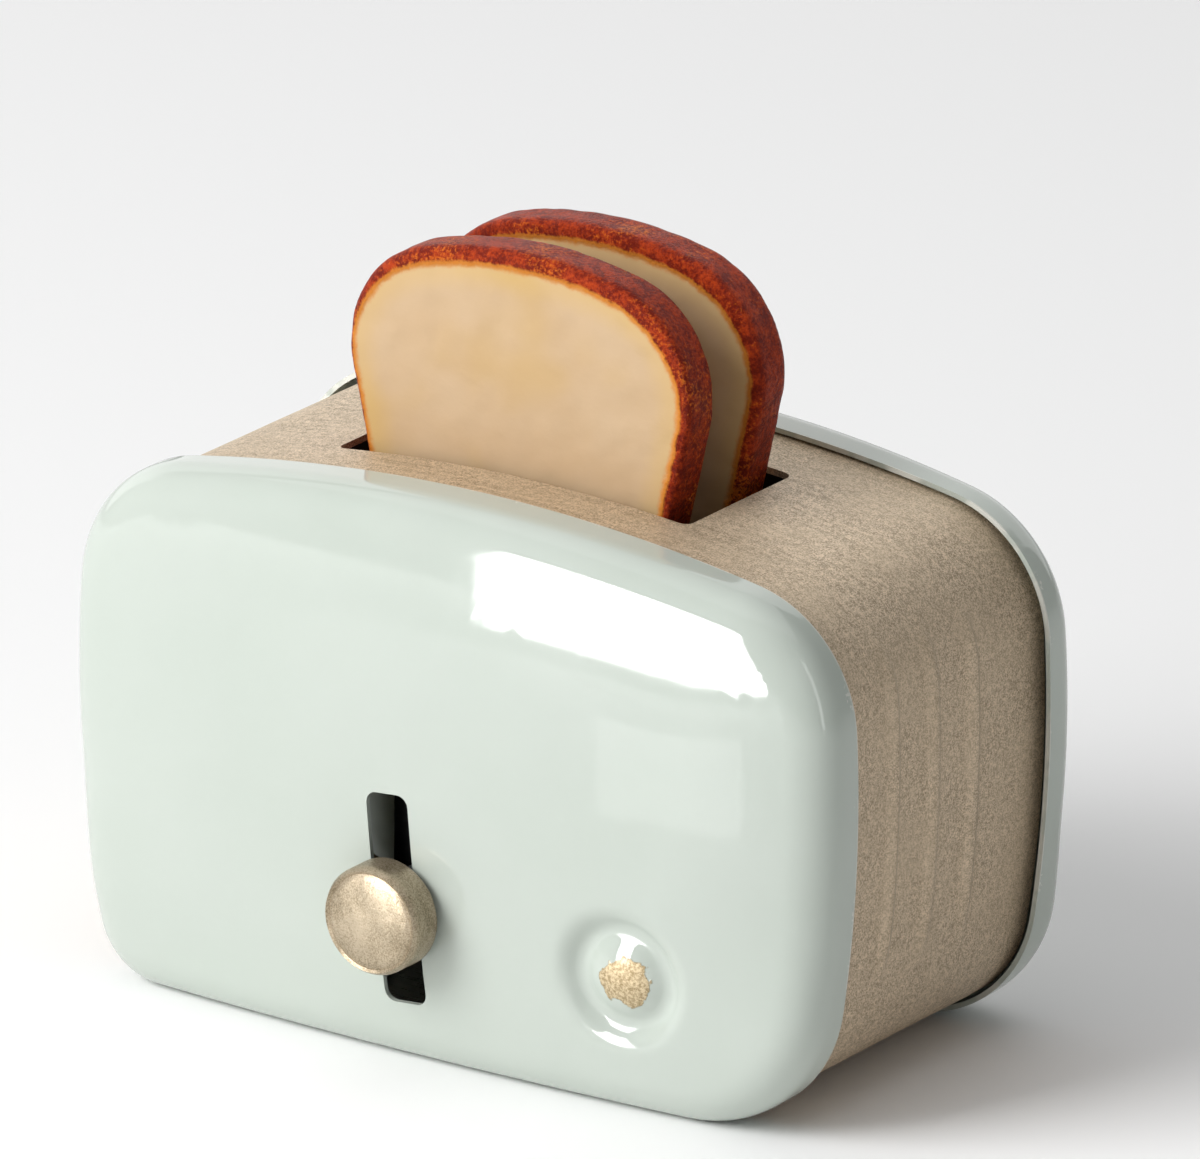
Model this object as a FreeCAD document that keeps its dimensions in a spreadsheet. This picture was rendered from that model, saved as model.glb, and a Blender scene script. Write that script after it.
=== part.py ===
# Doll's-house toaster of pressed sheet metal, with a lever-lifted carriage and two loose bread slices.
# Sizes are in millimetres. X points right, Y back and Z up. The origin lies on the table, below the
# middle of the whole toaster with its knob. Drawings start from the middle of the casing. The lever
# stands near the middle of its slot, with the slices half out of the opening.

import FreeCAD, Part
import Sketcher
import math
import os

SIZES = {
    # casing outline, seen from the front
    "casing_height": 34.0,
    "casing_width": 53.0,
    "arch_radius": 110.0,
    "shoulder_radius": 8.2,
    "side_radius": 85.0,
    "side_middle_height": 20.0,
    "left_foot_radius": 4.2,
    "right_foot_radius": 9.0,
    # front and rear covers
    "rim_spacing": 19.8,
    "cover_depth": 5.3,
    "cover_sheet": 0.3,
    "cover_edge_radius": 3.0,
    "crown_across": 260.0,
    "crown_upward": 150.0,
    "crown_height": 18.0,
    "crown_cut_angle": 30.0,
    # lever slot
    "slot_offset": -1.85,
    "slot_width": 2.9,
    "slot_bottom": 3.9,
    "slot_length": 12.8,
    "slot_corner": 0.7,
    # dial, embossed in the front cover
    "dial_offset": 13.7,
    "dial_height": 8.4,
    "dial_lip_radius": 4.25,
    "dial_groove_radius": 2.75,
    "dial_groove_depth": 0.7,
    "dial_groove_round": 0.85,
    "dial_nub_height": 0.15,
    "dial_nub_radius": 1.7,
    # body band
    "band_sheet": 0.4,
    "band_top_gap": 0.15,
    "band_side_gap": 0.5,
    "band_lap": 1.0,
    "mouth_margin": 1.1,
    "opening_offset": -0.55,
    "opening_length": 24.4,
    "opening_corner": 0.6,
    # pressed beads on the band's sides
    "bead_count": 3,
    "bead_pitch": 4.1,
    "bead_first": -4.7,
    "bead_width": 1.5,
    "bead_rise": 0.22,
    "bead_root": 0.12,
    "bead_length": 16.4,
    "bead_middle_height": 16.6,
    # base plate, its brackets and screws
    "base_sheet": 0.6,
    "base_lap": 0.9,
    "base_corner": 0.8,
    "base_edge_gap": 1.0,
    "bracket_sheet": 0.5,
    "bracket_width": 5.0,
    "bracket_spread": 21.0,
    "bracket_weld": 0.85,
    "bracket_step_gap": 0.2,
    "bracket_run": 3.2,
    "bend_radius": 0.15,
    "screw_inset": 1.6,
    "screw_radius": 0.5,
    "screw_clearance": 0.1,
    "screw_point": 0.4,
    "screw_head_radius": 1.0,
    "screw_head_height": 0.45,
    "screw_drive_width": 0.3,
    "screw_drive_depth": 0.2,
    # toast well under the opening
    "well_sheet": 0.3,
    "well_lap": 0.37,
    "well_end_depth": 2.2,
    "well_flange": 1.6,
    "well_ear_width": 4.0,
    "well_ear_overhang": 1.6,
    # guide rods
    "rod_radius": 0.6,
    "rod_offset": 2.9,
    "rod_neck_radius": 0.4,
    "rod_rivet_radius": 0.8,
    "rod_rivet_height": 0.3,
    # carriage tray and its bushes
    "tray_sheet": 0.3,
    "tray_drop": 10.4,
    "tray_side_gap": 0.3,
    "tray_end_gap": 0.35,
    "tray_lip_height": 1.9,
    "slice_play": 0.15,
    "tongue_width": 3.6,
    "tongue_corner": 1.7,
    "bush_wall": 0.35,
    "bush_height": 2.4,
    "bush_flange": 0.4,
    "bush_flange_sheet": 0.3,
    "running_gap": 0.05,
    # carriage arm and its rivets
    "arm_sheet": 0.5,
    "arm_width": 4.6,
    "arm_foot_start": 1.9,
    "arm_drop_offset": 4.2,
    "arm_drop": 7.0,
    "arm_reach": 11.6,
    "arm_tail": 2.1,
    "rivet_radius": 0.45,
    "rivet_head_radius": 0.75,
    "rivet_head_height": 0.3,
    "rivet_pitch": 2.6,
    # lever
    "lever_height": 9.7,
    "stem_radius": 0.85,
    "stem_neck_radius": 0.6,
    "stem_groove_radius": 0.42,
    "stem_tenon": 1.6,
    "stem_end": 0.3,
    "washer_radius": 1.9,
    "washer_sheet": 0.3,
    "clip_radius": 1.4,
    "clip_sheet": 0.25,
    "clip_mouth": 0.75,
    "knob_radius": 3.27,
    "knob_length": 2.5,
    "knob_front_round": 0.6,
    "knob_back_round": 0.15,
    "knob_gap": 0.2,
    # friction spring under the tray's left tongue
    "spring_sheet": 0.15,
    "spring_width": 1.6,
    "spring_seat": 2.0,
    "spring_gap": 0.03,
    "spring_step_height": 2.6,
    "spring_leg": 2.4,
    # bread slices; their sides are arcs that are widest far above the crust
    "slice_offset": -0.35,
    "slice_height": 23.1,
    "slice_flare_width": 31.4,
    "slice_side_radius": 200.0,
    "slice_flare_height": 55.6,
    "slice_crown_radius": 32.0,
    "slice_shoulder_radius": 6.6,
    "slice_heel_radius": 1.6,
    "slice_thickness": 2.9,
    "slice_pitch": 6.4,
    "slice_edge_round": 0.5,
    # common values: the gap between fixed pieces, and how far a cut runs past its piece
    "fit_gap": 0.02,
    "overrun": 1.0,
}

doc = FreeCAD.newDocument("ToyToaster")
sheet = doc.addObject("Spreadsheet::Sheet", "Sizes")
for row, (alias, amount) in enumerate(SIZES.items(), start=1):
    sheet.set("A%d" % row, alias.replace("_", " "))
    sheet.set("B%d" % row, str(amount))
    sheet.setAlias("B%d" % row, alias)
doc.recompute()


def number(expression):
    """The value of an expression over the sheet's cells."""
    result = sheet.evalExpression(str(expression))
    return float(getattr(result, "Value", result))


# Dimensions that several pieces share, as expressions over the sheet's cells
RIM = "(Sizes.rim_spacing / 2)"
FACE = "(Sizes.rim_spacing / 2 + Sizes.cover_depth)"
BAND_OUT = "(Sizes.cover_sheet + Sizes.band_top_gap)"
BAND_IN = "(Sizes.cover_sheet + Sizes.band_top_gap + Sizes.band_sheet)"
BAND_NARROW = "(Sizes.band_side_gap - Sizes.band_top_gap)"
BAND_END = "(Sizes.rim_spacing / 2 + Sizes.band_lap)"
BASE_BOTTOM = "(%s + Sizes.fit_gap)" % BAND_IN
BASE_TOP = "(%s + Sizes.base_sheet)" % BASE_BOTTOM
BASE_EDGE = "(%s - Sizes.base_edge_gap)" % RIM
WELL_TOP = "(%s + Sizes.fit_gap)" % BAND_IN
TRAY_HALF = "(Sizes.slice_pitch / 2 + Sizes.slice_thickness / 2 + Sizes.slice_play + Sizes.tray_sheet)"
OPENING_HALF = "(%s + Sizes.tray_side_gap)" % TRAY_HALF
OPENING_LEFT = "(Sizes.opening_offset - Sizes.opening_length / 2)"
OPENING_RIGHT = "(Sizes.opening_offset + Sizes.opening_length / 2)"
TRAY_LEFT = "(%s + Sizes.tray_end_gap)" % OPENING_LEFT
TRAY_RIGHT = "(%s - Sizes.tray_end_gap)" % OPENING_RIGHT
TRAY_FLOOR = "(Sizes.casing_height - Sizes.tray_drop)"
TRAY_BOTTOM = "(%s - Sizes.tray_sheet)" % TRAY_FLOOR
TRAY_CREST = "(%s + Sizes.tray_lip_height)" % TRAY_FLOOR
RODS = {"left": "(%s - Sizes.rod_offset)" % OPENING_LEFT,
        "right": "(%s + Sizes.rod_offset)" % OPENING_RIGHT}
MOUTH_LEFT = "(%s - Sizes.mouth_margin)" % RODS["left"]
MOUTH_RIGHT = "(%s + Sizes.mouth_margin)" % RODS["right"]
BUSH_BORE = "(Sizes.rod_radius + Sizes.running_gap)"
BUSH_OUTSIDE = "(%s + Sizes.bush_wall)" % BUSH_BORE
SCREWS = {"left": "(Sizes.opening_offset - Sizes.bracket_spread / 2)",
          "right": "(Sizes.opening_offset + Sizes.bracket_spread / 2)"}
SCREW_Y = "(%s - Sizes.screw_inset)" % BASE_EDGE
ARM_FRONT = "(-Sizes.arm_reach - Sizes.arm_sheet / 2)"
ARM_BACK = "(-Sizes.arm_reach + Sizes.arm_sheet / 2)"
WASHER_FRONT = "(%s - Sizes.fit_gap - Sizes.washer_sheet)" % ARM_FRONT
CLIP_FRONT = "(%s + Sizes.fit_gap)" % ARM_BACK
KNOB_BACK = "(-%s - Sizes.knob_gap)" % FACE
RIVET_Y = "(-(Sizes.arm_foot_start + Sizes.arm_drop_offset) / 2)"
SPRING_RIVET_X = "(%s - Sizes.spring_seat / 2)" % TRAY_LEFT
CASING_MIDDLE = "((Sizes.knob_length + Sizes.knob_gap) / 2)"

CASING = {"height": "Sizes.casing_height", "half": "Sizes.casing_width / 2",
          "arch": "Sizes.arch_radius", "shoulder": "Sizes.shoulder_radius",
          "side": "Sizes.side_radius", "side_height": "Sizes.side_middle_height",
          "left_foot": "Sizes.left_foot_radius", "right_foot": "Sizes.right_foot_radius"}
SLICE = {"height": "Sizes.slice_height", "half": "Sizes.slice_flare_width / 2",
         "arch": "Sizes.slice_crown_radius", "shoulder": "Sizes.slice_shoulder_radius",
         "side": "Sizes.slice_side_radius", "side_height": "Sizes.slice_flare_height",
         "left_foot": "Sizes.slice_heel_radius", "right_foot": "Sizes.slice_heel_radius"}


# Drawing helpers

def new_body(label):
    """An empty PartDesign body with its label."""
    body = doc.addObject("PartDesign::Body", label)
    body.Label = label
    return body


def origin_feature(body, role):
    """One of the body's own origin planes or axes."""
    return [item for item in body.Origin.OriginFeatures if item.Role == role][0]


class Drawing:
    """A sketch on one of its body's origin planes, dimensioned from the sheet."""

    def __init__(self, body, name, plane, lift="0", along="0", up="0"):
        self.sketch = body.newObject("Sketcher::SketchObject", name)
        self.sketch.AttachmentSupport = (origin_feature(body, plane), [""])
        self.sketch.MapMode = "FlatFace"
        self.sketch.setExpression("AttachmentOffset.Base.z", lift)
        self.sketch.setExpression("AttachmentOffset.Base.x", along)
        self.sketch.setExpression("AttachmentOffset.Base.y", up)

    def bind(self, kind, *where_and_expression):
        """Adds a driving dimension whose value comes from an expression."""
        *where, expression = where_and_expression
        index = self.sketch.addConstraint(Sketcher.Constraint(kind, *where, number(expression)))
        self.sketch.setExpression("Constraints[%d]" % index, expression)

    def pin(self, item, point, x, y):
        """Fixes a point of an item at a place measured from the sketch's origin."""
        self.bind("DistanceX", -1, 1, item, point, x)
        self.bind("DistanceY", -1, 1, item, point, y)

    def join(self, first, first_end, second, second_end, smooth=False):
        """Joins two ends, with a common tangent where smooth."""
        kind = "Tangent" if smooth else "Coincident"
        self.sketch.addConstraint(Sketcher.Constraint(kind, first, first_end, second, second_end))

    def line(self, start, end):
        """Adds a line between two places given as numbers."""
        a = FreeCAD.Vector(start[0], start[1], 0)
        b = FreeCAD.Vector(end[0], end[1], 0)
        return self.sketch.addGeometry(Part.LineSegment(a, b), False)

    def arc(self, centre, radius, first, last):
        """Adds an arc that runs counterclockwise from angle first to angle last."""
        circle = Part.Circle(FreeCAD.Vector(centre[0], centre[1], 0), FreeCAD.Vector(0, 0, 1), radius)
        return self.sketch.addGeometry(Part.ArcOfCircle(circle, first, last), False)

    def circle(self, x, y, radius):
        """Adds a circle with bound centre and radius."""
        centre = FreeCAD.Vector(number(x), number(y), 0)
        item = self.sketch.addGeometry(
            Part.Circle(centre, FreeCAD.Vector(0, 0, 1), number(radius)), False)
        self.pin(item, 3, x, y)
        self.bind("Radius", item, radius)
        return item

    def polygon(self, corners):
        """Adds a closed polygon whose corners are pairs of expressions."""
        places = [(number(x), number(y)) for x, y in corners]
        items = []
        for index, place in enumerate(places):
            items.append(self.line(place, places[(index + 1) % len(places)]))
        for index, item in enumerate(items):
            self.join(item, 2, items[(index + 1) % len(items)], 1)
            self.pin(item, 1, *corners[index])
        return items

    def rounded_rectangle(self, left, right, bottom, top, radius):
        """Adds a rectangle with equal round corners."""
        r = number(radius)
        x0, x1, y0, y1 = (number(side) for side in (left, right, bottom, top))
        inner = {"left": "%s + %s" % (left, radius), "right": "%s - %s" % (right, radius),
                 "bottom": "%s + %s" % (bottom, radius), "top": "%s - %s" % (top, radius)}
        corners = [("right", "bottom", -90), ("right", "top", 0), ("left", "top", 90),
                   ("left", "bottom", 180)]
        arcs = []
        for across, up, start in corners:
            centre = (number(inner[across]), number(inner[up]))
            arcs.append(self.arc(centre, r, math.radians(start), math.radians(start + 90)))
        lines = [self.line((x1, y0 + r), (x1, y1 - r)), self.line((x1 - r, y1), (x0 + r, y1)),
                 self.line((x0, y1 - r), (x0, y0 + r)), self.line((x0 + r, y0), (x1 - r, y0))]
        for index in range(4):
            self.join(arcs[index], 2, lines[index], 1, smooth=True)
            self.join(lines[index], 2, arcs[(index + 1) % 4], 1, smooth=True)
        for arc, (across, up, start) in zip(arcs, corners):
            self.pin(arc, 3, inner[across], inner[up])
            self.bind("Radius", arc, radius)

    def strip(self, path, thickness, bend):
        """Adds the edge-on profile of a sheet strip bent at right angles along its middle line."""
        places = [(number(x), number(y)) for x, y in path]
        half = number(thickness) / 2
        steps = []
        for (ax, ay), (bx, by) in zip(places, places[1:]):
            length = math.hypot(bx - ax, by - ay)
            steps.append((round((bx - ax) / length), round((by - ay) / length)))
        sides = []
        for side in (1, -1):
            sides.append(self._strip_side(path, places, steps, thickness, bend, side * half, side))
        for end in (0, 1):
            first = sides[0][end]
            second = sides[1][end]
            cap = self.line(first[2], second[2])
            self.join(cap, 1, first[0], first[1])
            self.join(cap, 2, second[0], second[1])

    def _strip_side(self, path, places, steps, thickness, bend, shift, side):
        """Adds one face of a bent strip and returns its two open ends."""
        def beside(index, step):
            x, y = places[index]
            return (x - step[1] * shift, y + step[0] * shift)

        def pin_end(item, point, index, step):
            x, y = path[index]
            self.pin(item, point, "%s + %d * %s / 2" % (x, -step[1] * side, thickness),
                     "%s + %d * %s / 2" % (y, step[0] * side, thickness))

        start = beside(0, steps[0])
        previous = None
        first_line = None
        for index in range(1, len(places)):
            step = steps[index - 1]
            if index == len(places) - 1:
                end = beside(index, step)
                item = self.line(start, end)
                if first_line is None:
                    first_line = item
                if previous is not None:
                    self.join(previous[0], previous[1], item, 1, smooth=True)
                pin_end(item, 2, index, step)
                last = (item, 2, end)
                break
            after = steps[index]
            turn = step[0] * after[1] - step[1] * after[0]
            reach = "(%s + %s / 2)" % (bend, thickness)
            centre_x = "%s + %d * %s" % (path[index][0], after[0] - step[0], reach)
            centre_y = "%s + %d * %s" % (path[index][1], after[1] - step[1], reach)
            centre = (number(centre_x), number(centre_y))
            inside = turn * side > 0
            radius = bend if inside else "%s + %s" % (bend, thickness)
            r = number(radius)
            inward = (-after[0], -after[1])
            outward = step
            a0 = math.atan2(inward[1], inward[0])
            a1 = math.atan2(outward[1], outward[0])
            begin = (centre[0] + r * inward[0], centre[1] + r * inward[1])
            finish = (centre[0] + r * outward[0], centre[1] + r * outward[1])
            item = self.line(start, begin)
            if first_line is None:
                first_line = item
            if previous is not None:
                self.join(previous[0], previous[1], item, 1, smooth=True)
            if turn > 0:
                arc = self.arc(centre, r, a0, a1 if a1 > a0 else a1 + 2 * math.pi)
                ends = (1, 2)
            else:
                arc = self.arc(centre, r, a1, a0 if a0 > a1 else a0 + 2 * math.pi)
                ends = (2, 1)
            self.join(item, 2, arc, ends[0], smooth=True)
            self.pin(arc, 3, centre_x, centre_y)
            self.bind("Radius", arc, radius)
            previous = (arc, ends[1])
            start = finish
        pin_end(first_line, 1, 0, steps[0])
        return (first_line, 1, beside(0, steps[0])), last


def circle_between(first, first_radius, second, second_radius):
    """The upper right point at the given distances from two centres."""
    dx = second[0] - first[0]
    dy = second[1] - first[1]
    apart = math.hypot(dx, dy)
    along = (first_radius ** 2 - second_radius ** 2 + apart ** 2) / (2 * apart)
    aside = math.sqrt(first_radius ** 2 - along ** 2)
    points = []
    for sign in (1, -1):
        points.append((first[0] + (along * dx - sign * aside * dy) / apart,
                       first[1] + (along * dy + sign * aside * dx) / apart))
    return max(points, key=sum)


def outline_angles(height, half_width, arch, shoulder, side, side_height, foot):
    """Centres and joint angles of the right half of an arched outline."""
    arch_centre = (0.0, height - arch)
    side_centre = (half_width - side, side_height)
    shoulder_centre = circle_between(arch_centre, arch - shoulder, side_centre, side - shoulder)
    foot_x = side_centre[0] + math.sqrt((side - foot) ** 2 - (side_height - foot) ** 2)
    foot_centre = (foot_x, foot)
    shoulder_top = math.atan2(shoulder_centre[1] - arch_centre[1], shoulder_centre[0])
    shoulder_side = math.atan2(shoulder_centre[1] - side_centre[1],
                               shoulder_centre[0] - side_centre[0])
    foot_side = math.atan2(foot_centre[1] - side_centre[1], foot_centre[0] - side_centre[0])
    return arch_centre, side_centre, shoulder_centre, foot_centre, shoulder_top, shoulder_side, foot_side


def arched_outline(body, name, shape, inset="0", narrow="0", lift="0", along="0", up="0"):
    """An arched outline in front view, moved in by inset all round and by narrow more at the sides."""
    drawing = Drawing(body, name, "XZ_Plane", lift, along, up)
    half = "(%s - %s)" % (shape["half"], narrow)
    feet = {1: shape["right_foot"], -1: shape["left_foot"]}
    arch = number(shape["arch"])
    side_radius = number(shape["side"])
    shoulder = number(shape["shoulder"])
    less = number(inset)
    halves = {}
    for side, foot in feet.items():
        halves[side] = outline_angles(number(shape["height"]), number(half), arch, shoulder, side_radius,
                                      number(shape["side_height"]), number(foot))
    items = []
    for side in (1, -1):
        arch_c, side_c, shoulder_c, foot_c, top, beside, low = halves[side]
        pieces = [(foot_c, number(feet[side]), -math.pi / 2, low), (side_c, side_radius, low, beside),
                  (shoulder_c, shoulder, beside, top)]
        if side < 0:
            pieces = [((-c[0], c[1]), r, math.pi - b, math.pi - a) for c, r, a, b in reversed(pieces)]
        for centre, radius, first, last in pieces:
            items.append(drawing.arc(centre, radius - less, first, last))
        if side > 0:
            items.append(drawing.arc(arch_c, arch - less, top, math.pi - halves[-1][4]))
    items.append(drawing.line((-halves[-1][3][0], less), (halves[1][3][0], less)))
    for index, item in enumerate(items):
        drawing.join(item, 2, items[(index + 1) % len(items)], 1, smooth=True)
    foot_r, side_r, shoulder_r, crown, shoulder_l, side_l, foot_l, floor = items
    drawing.pin(crown, 3, "0", "%s - %s" % (shape["height"], shape["arch"]))
    drawing.pin(side_r, 3, "%s - %s" % (half, shape["side"]), shape["side_height"])
    drawing.pin(side_l, 3, "%s - %s" % (shape["side"], half), shape["side_height"])
    drawing.bind("DistanceY", -1, 1, foot_r, 3, feet[1])
    drawing.bind("DistanceY", -1, 1, foot_l, 3, feet[-1])
    radii = [(foot_r, feet[1]), (side_r, shape["side"]), (shoulder_r, shape["shoulder"]),
             (crown, shape["arch"]), (shoulder_l, shape["shoulder"]), (side_l, shape["side"]),
             (foot_l, feet[-1])]
    for item, radius in radii:
        drawing.bind("Radius", item, "%s - %s" % (radius, inset))
    return drawing.sketch


def feature(body, kind, name, **settings):
    """Adds a PartDesign feature, sets it up and binds the settings given as expressions."""
    item = body.newObject("PartDesign::" + kind, name)
    for key, setting in settings.items():
        if isinstance(setting, str) and not key == "Type":
            item.setExpression(key, setting)
        else:
            setattr(item, key, setting)
    doc.recompute()
    return item


def farthest(item, direction):
    """The name of the face of an item that lies farthest along a direction."""
    towards = FreeCAD.Vector(*direction)
    reach = [face.CenterOfMass.dot(towards) for face in item.Shape.Faces]
    return "Face%d" % (reach.index(max(reach)) + 1)


# Front and rear covers

def crown_point(x, z):
    """A point of the front cover's crowned face and the outward direction there."""
    across = number("Sizes.crown_across")
    upward = number("Sizes.crown_upward")
    axis_y = across - number(FACE)
    rise = z - number("Sizes.crown_height")
    ring = across - upward + math.sqrt(upward ** 2 - rise ** 2)
    y = axis_y - math.sqrt(ring ** 2 - x ** 2)
    tube = FreeCAD.Vector(x, y - axis_y, 0)
    tube.normalize()
    centre = FreeCAD.Vector(0, axis_y, number("Sizes.crown_height")) + tube * (across - upward)
    outward = FreeCAD.Vector(x, y, z) - centre
    outward.normalize()
    return FreeCAD.Vector(x, y, z), outward


def make_pan(label, side, inset, lead):
    """A solid block with a crowned face and round edges, smaller by inset all round."""
    body = new_body(label)
    outline = arched_outline(body, label + "_outline", CASING, inset,
                             lift="%d * (%s - %s)" % (-side, RIM, lead))
    feature(body, "Pad", label + "_block", Profile=outline, Reversed=side > 0,
            Length="Sizes.cover_depth - %s + %s" % (inset, lead))
    across = "(Sizes.crown_across - %s)" % inset
    upward = "(Sizes.crown_upward - %s)" % inset
    crown = Drawing(body, label + "_crown", "YZ_Plane", "0",
                    "%d * (%s - Sizes.crown_across)" % (side, FACE))
    arc_x = "%d * (Sizes.crown_across - Sizes.crown_upward)" % side
    low = "-2 * Sizes.overrun"
    high = "Sizes.casing_height + 2 * Sizes.overrun"
    front = "%d * (Sizes.crown_across + 3 * Sizes.overrun)" % side
    radius = number(upward)
    middle = number("Sizes.crown_height")
    slopes = [math.asin((number(level) - middle) / radius) for level in (low, high)]
    ends = [(number(arc_x) + side * radius * math.cos(slope), middle + radius * math.sin(slope))
            for slope in slopes]
    if side < 0:
        slopes = [math.pi - slopes[1], math.pi - slopes[0]]
    arc = crown.arc((number(arc_x), middle), radius, *slopes)
    low_end, high_end = (1, 2) if side > 0 else (2, 1)
    floor = crown.line(ends[0], (number(front), number(low)))
    wall = crown.line((number(front), number(low)), (number(front), number(high)))
    roof = crown.line((number(front), number(high)), ends[1])
    crown.join(arc, low_end, floor, 1)
    crown.join(floor, 2, wall, 1)
    crown.join(wall, 2, roof, 1)
    crown.join(roof, 2, arc, high_end)
    crown.pin(arc, 3, arc_x, "Sizes.crown_height")
    crown.bind("Radius", arc, upward)
    crown.bind("DistanceY", -1, 1, floor, 1, low)
    crown.bind("DistanceY", -1, 1, roof, 2, high)
    crown.pin(wall, 1, front, low)
    crown.pin(wall, 2, front, high)
    cut = feature(body, "Groove", label + "_crowning", Profile=crown.sketch, Midplane=True,
                  ReferenceAxis=(crown.sketch, ["V_Axis"]), Angle="Sizes.crown_cut_angle")
    feature(body, "Fillet", label + "_edge", Base=(cut, [farthest(cut, (0, side, 0))]),
            Radius="Sizes.cover_edge_radius - %s" % inset)
    return body


def make_cover(label, side):
    """A pressed pan of even sheet, at side -1 for the front and 1 for the rear."""
    body = make_pan(label, side, "0", "0")
    core = make_pan(label + "_hollow", side, "Sizes.cover_sheet", "Sizes.overrun")
    hollow = body.newObject("PartDesign::Boolean", label + "_hollowing")
    hollow.Type = "Cut"
    hollow.setObjects([core])
    body.Tip = hollow
    doc.recompute()
    return body


def dial_section(drawing, shift, far):
    """The dial's section beside its axis: nub, groove and lip, closed at the height far."""
    lip = "Sizes.dial_lip_radius"
    groove = "Sizes.dial_groove_radius"
    round_radius = "(Sizes.dial_groove_round + %s)" % shift
    centre_height = "Sizes.dial_groove_round - Sizes.dial_groove_depth"
    depth = number("Sizes.dial_groove_depth")
    nub = number("Sizes.dial_nub_height")
    r_lip, r_groove, r_round = number(lip), number(groove), number("Sizes.dial_groove_round")
    lip_round = ((r_lip - r_groove) ** 2 + depth ** 2) / (2 * depth) - r_round
    nub_round = (r_groove ** 2 + (depth + nub) ** 2) / (2 * (depth + nub)) - r_round
    less = number(shift)
    centres = [(0.0, nub - nub_round), (r_groove, r_round - depth), (r_lip, -lip_round)]
    to_groove = math.atan2(centres[1][1] - centres[0][1], centres[1][0] - centres[0][0])
    to_lip = math.atan2(centres[1][1] - centres[2][1], centres[1][0] - centres[2][0])
    nub_arc = drawing.arc(centres[0], nub_round - less, to_groove, math.pi / 2)
    groove_arc = drawing.arc(centres[1], r_round + less, to_groove - math.pi, to_lip + math.pi
                             if to_lip < 0 else to_lip - math.pi)
    lip_arc = drawing.arc(centres[2], lip_round - less, math.pi / 2, to_lip)
    level = number(far)
    side = drawing.line((r_lip, -less), (r_lip, level))
    end = drawing.line((r_lip, level), (0.0, level))
    axis = drawing.line((0.0, level), (0.0, nub - less))
    drawing.join(nub_arc, 1, groove_arc, 1, smooth=True)
    drawing.join(groove_arc, 2, lip_arc, 2, smooth=True)
    drawing.join(lip_arc, 1, side, 1)
    drawing.join(side, 2, end, 1)
    drawing.join(end, 2, axis, 1)
    drawing.join(axis, 2, nub_arc, 2)
    drawing.pin(groove_arc, 3, groove, centre_height)
    drawing.bind("Radius", groove_arc, round_radius)
    drawing.bind("DistanceX", -1, 1, nub_arc, 3, "0")
    drawing.pin(nub_arc, 2, "0", "Sizes.dial_nub_height - %s" % shift)
    drawing.bind("DistanceX", -1, 1, lip_arc, 3, lip)
    drawing.pin(lip_arc, 1, lip, "-%s" % shift)
    drawing.pin(end, 1, lip, far)
    drawing.pin(end, 2, "0", far)


def emboss_dial(body):
    """Presses the dial's ring groove and nub into the cover, square to its crowned face."""
    centre, outward = crown_point(number("Sizes.dial_offset"), number("Sizes.dial_height"))
    turn = FreeCAD.Rotation(FreeCAD.Vector(1, 0, 0), outward, FreeCAD.Vector(0, 0, 0), "YXZ")
    placement = FreeCAD.Placement(centre, turn)
    back = "(-Sizes.dial_groove_depth - 2 * Sizes.cover_sheet)"
    sections = []
    for name in ("dial_blank", "dial_front", "dial_back"):
        drawing = Drawing(body, name + "_section", "XY_Plane")
        for axis in "xyz":
            drawing.sketch.setExpression("AttachmentOffset.Base." + axis, None)
        drawing.sketch.AttachmentOffset = placement
        sections.append(drawing)
    blank, front, rear = sections
    middle = "(-Sizes.cover_sheet / 2)"
    blank.polygon([("0", back), ("Sizes.dial_lip_radius", back), ("Sizes.dial_lip_radius", middle),
                   ("Sizes.dial_nub_radius", middle), ("Sizes.dial_nub_radius", "Sizes.dial_nub_height"),
                   ("0", "Sizes.dial_nub_height")])
    feature(body, "Revolution", "dial_blank", Profile=blank.sketch, Angle="360",
            ReferenceAxis=(blank.sketch, ["V_Axis"]))
    dial_section(front, "0", "Sizes.overrun")
    feature(body, "Groove", "dial_front", Profile=front.sketch, Angle="360",
            ReferenceAxis=(front.sketch, ["V_Axis"]))
    dial_section(rear, "Sizes.cover_sheet", "%s - Sizes.overrun" % back)
    feature(body, "Groove", "dial_back", Profile=rear.sketch, Angle="360",
            ReferenceAxis=(rear.sketch, ["V_Axis"]))


front_cover = make_cover("front_cover", -1)
slot = Drawing(front_cover, "lever_slot", "XZ_Plane", "%s + Sizes.overrun" % FACE)
slot.rounded_rectangle("(Sizes.slot_offset - Sizes.slot_width / 2)",
                       "(Sizes.slot_offset + Sizes.slot_width / 2)", "Sizes.slot_bottom",
                       "(Sizes.slot_bottom + Sizes.slot_length)", "Sizes.slot_corner")
feature(front_cover, "Pocket", "lever_slot_cut", Profile=slot.sketch, Length="Sizes.cover_depth")
emboss_dial(front_cover)
rear_cover = make_cover("rear_cover", 1)


# Body band

def ring(body, name, left, right, half, corner, low, length):
    """Cuts a rounded rectangular hole upward from the height low."""
    hole = Drawing(body, name + "_outline", "XY_Plane", low)
    hole.rounded_rectangle(left, right, "-%s" % half, half, corner)
    return feature(body, "Pocket", name, Profile=hole.sketch, Length=length, Reversed=True)


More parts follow.
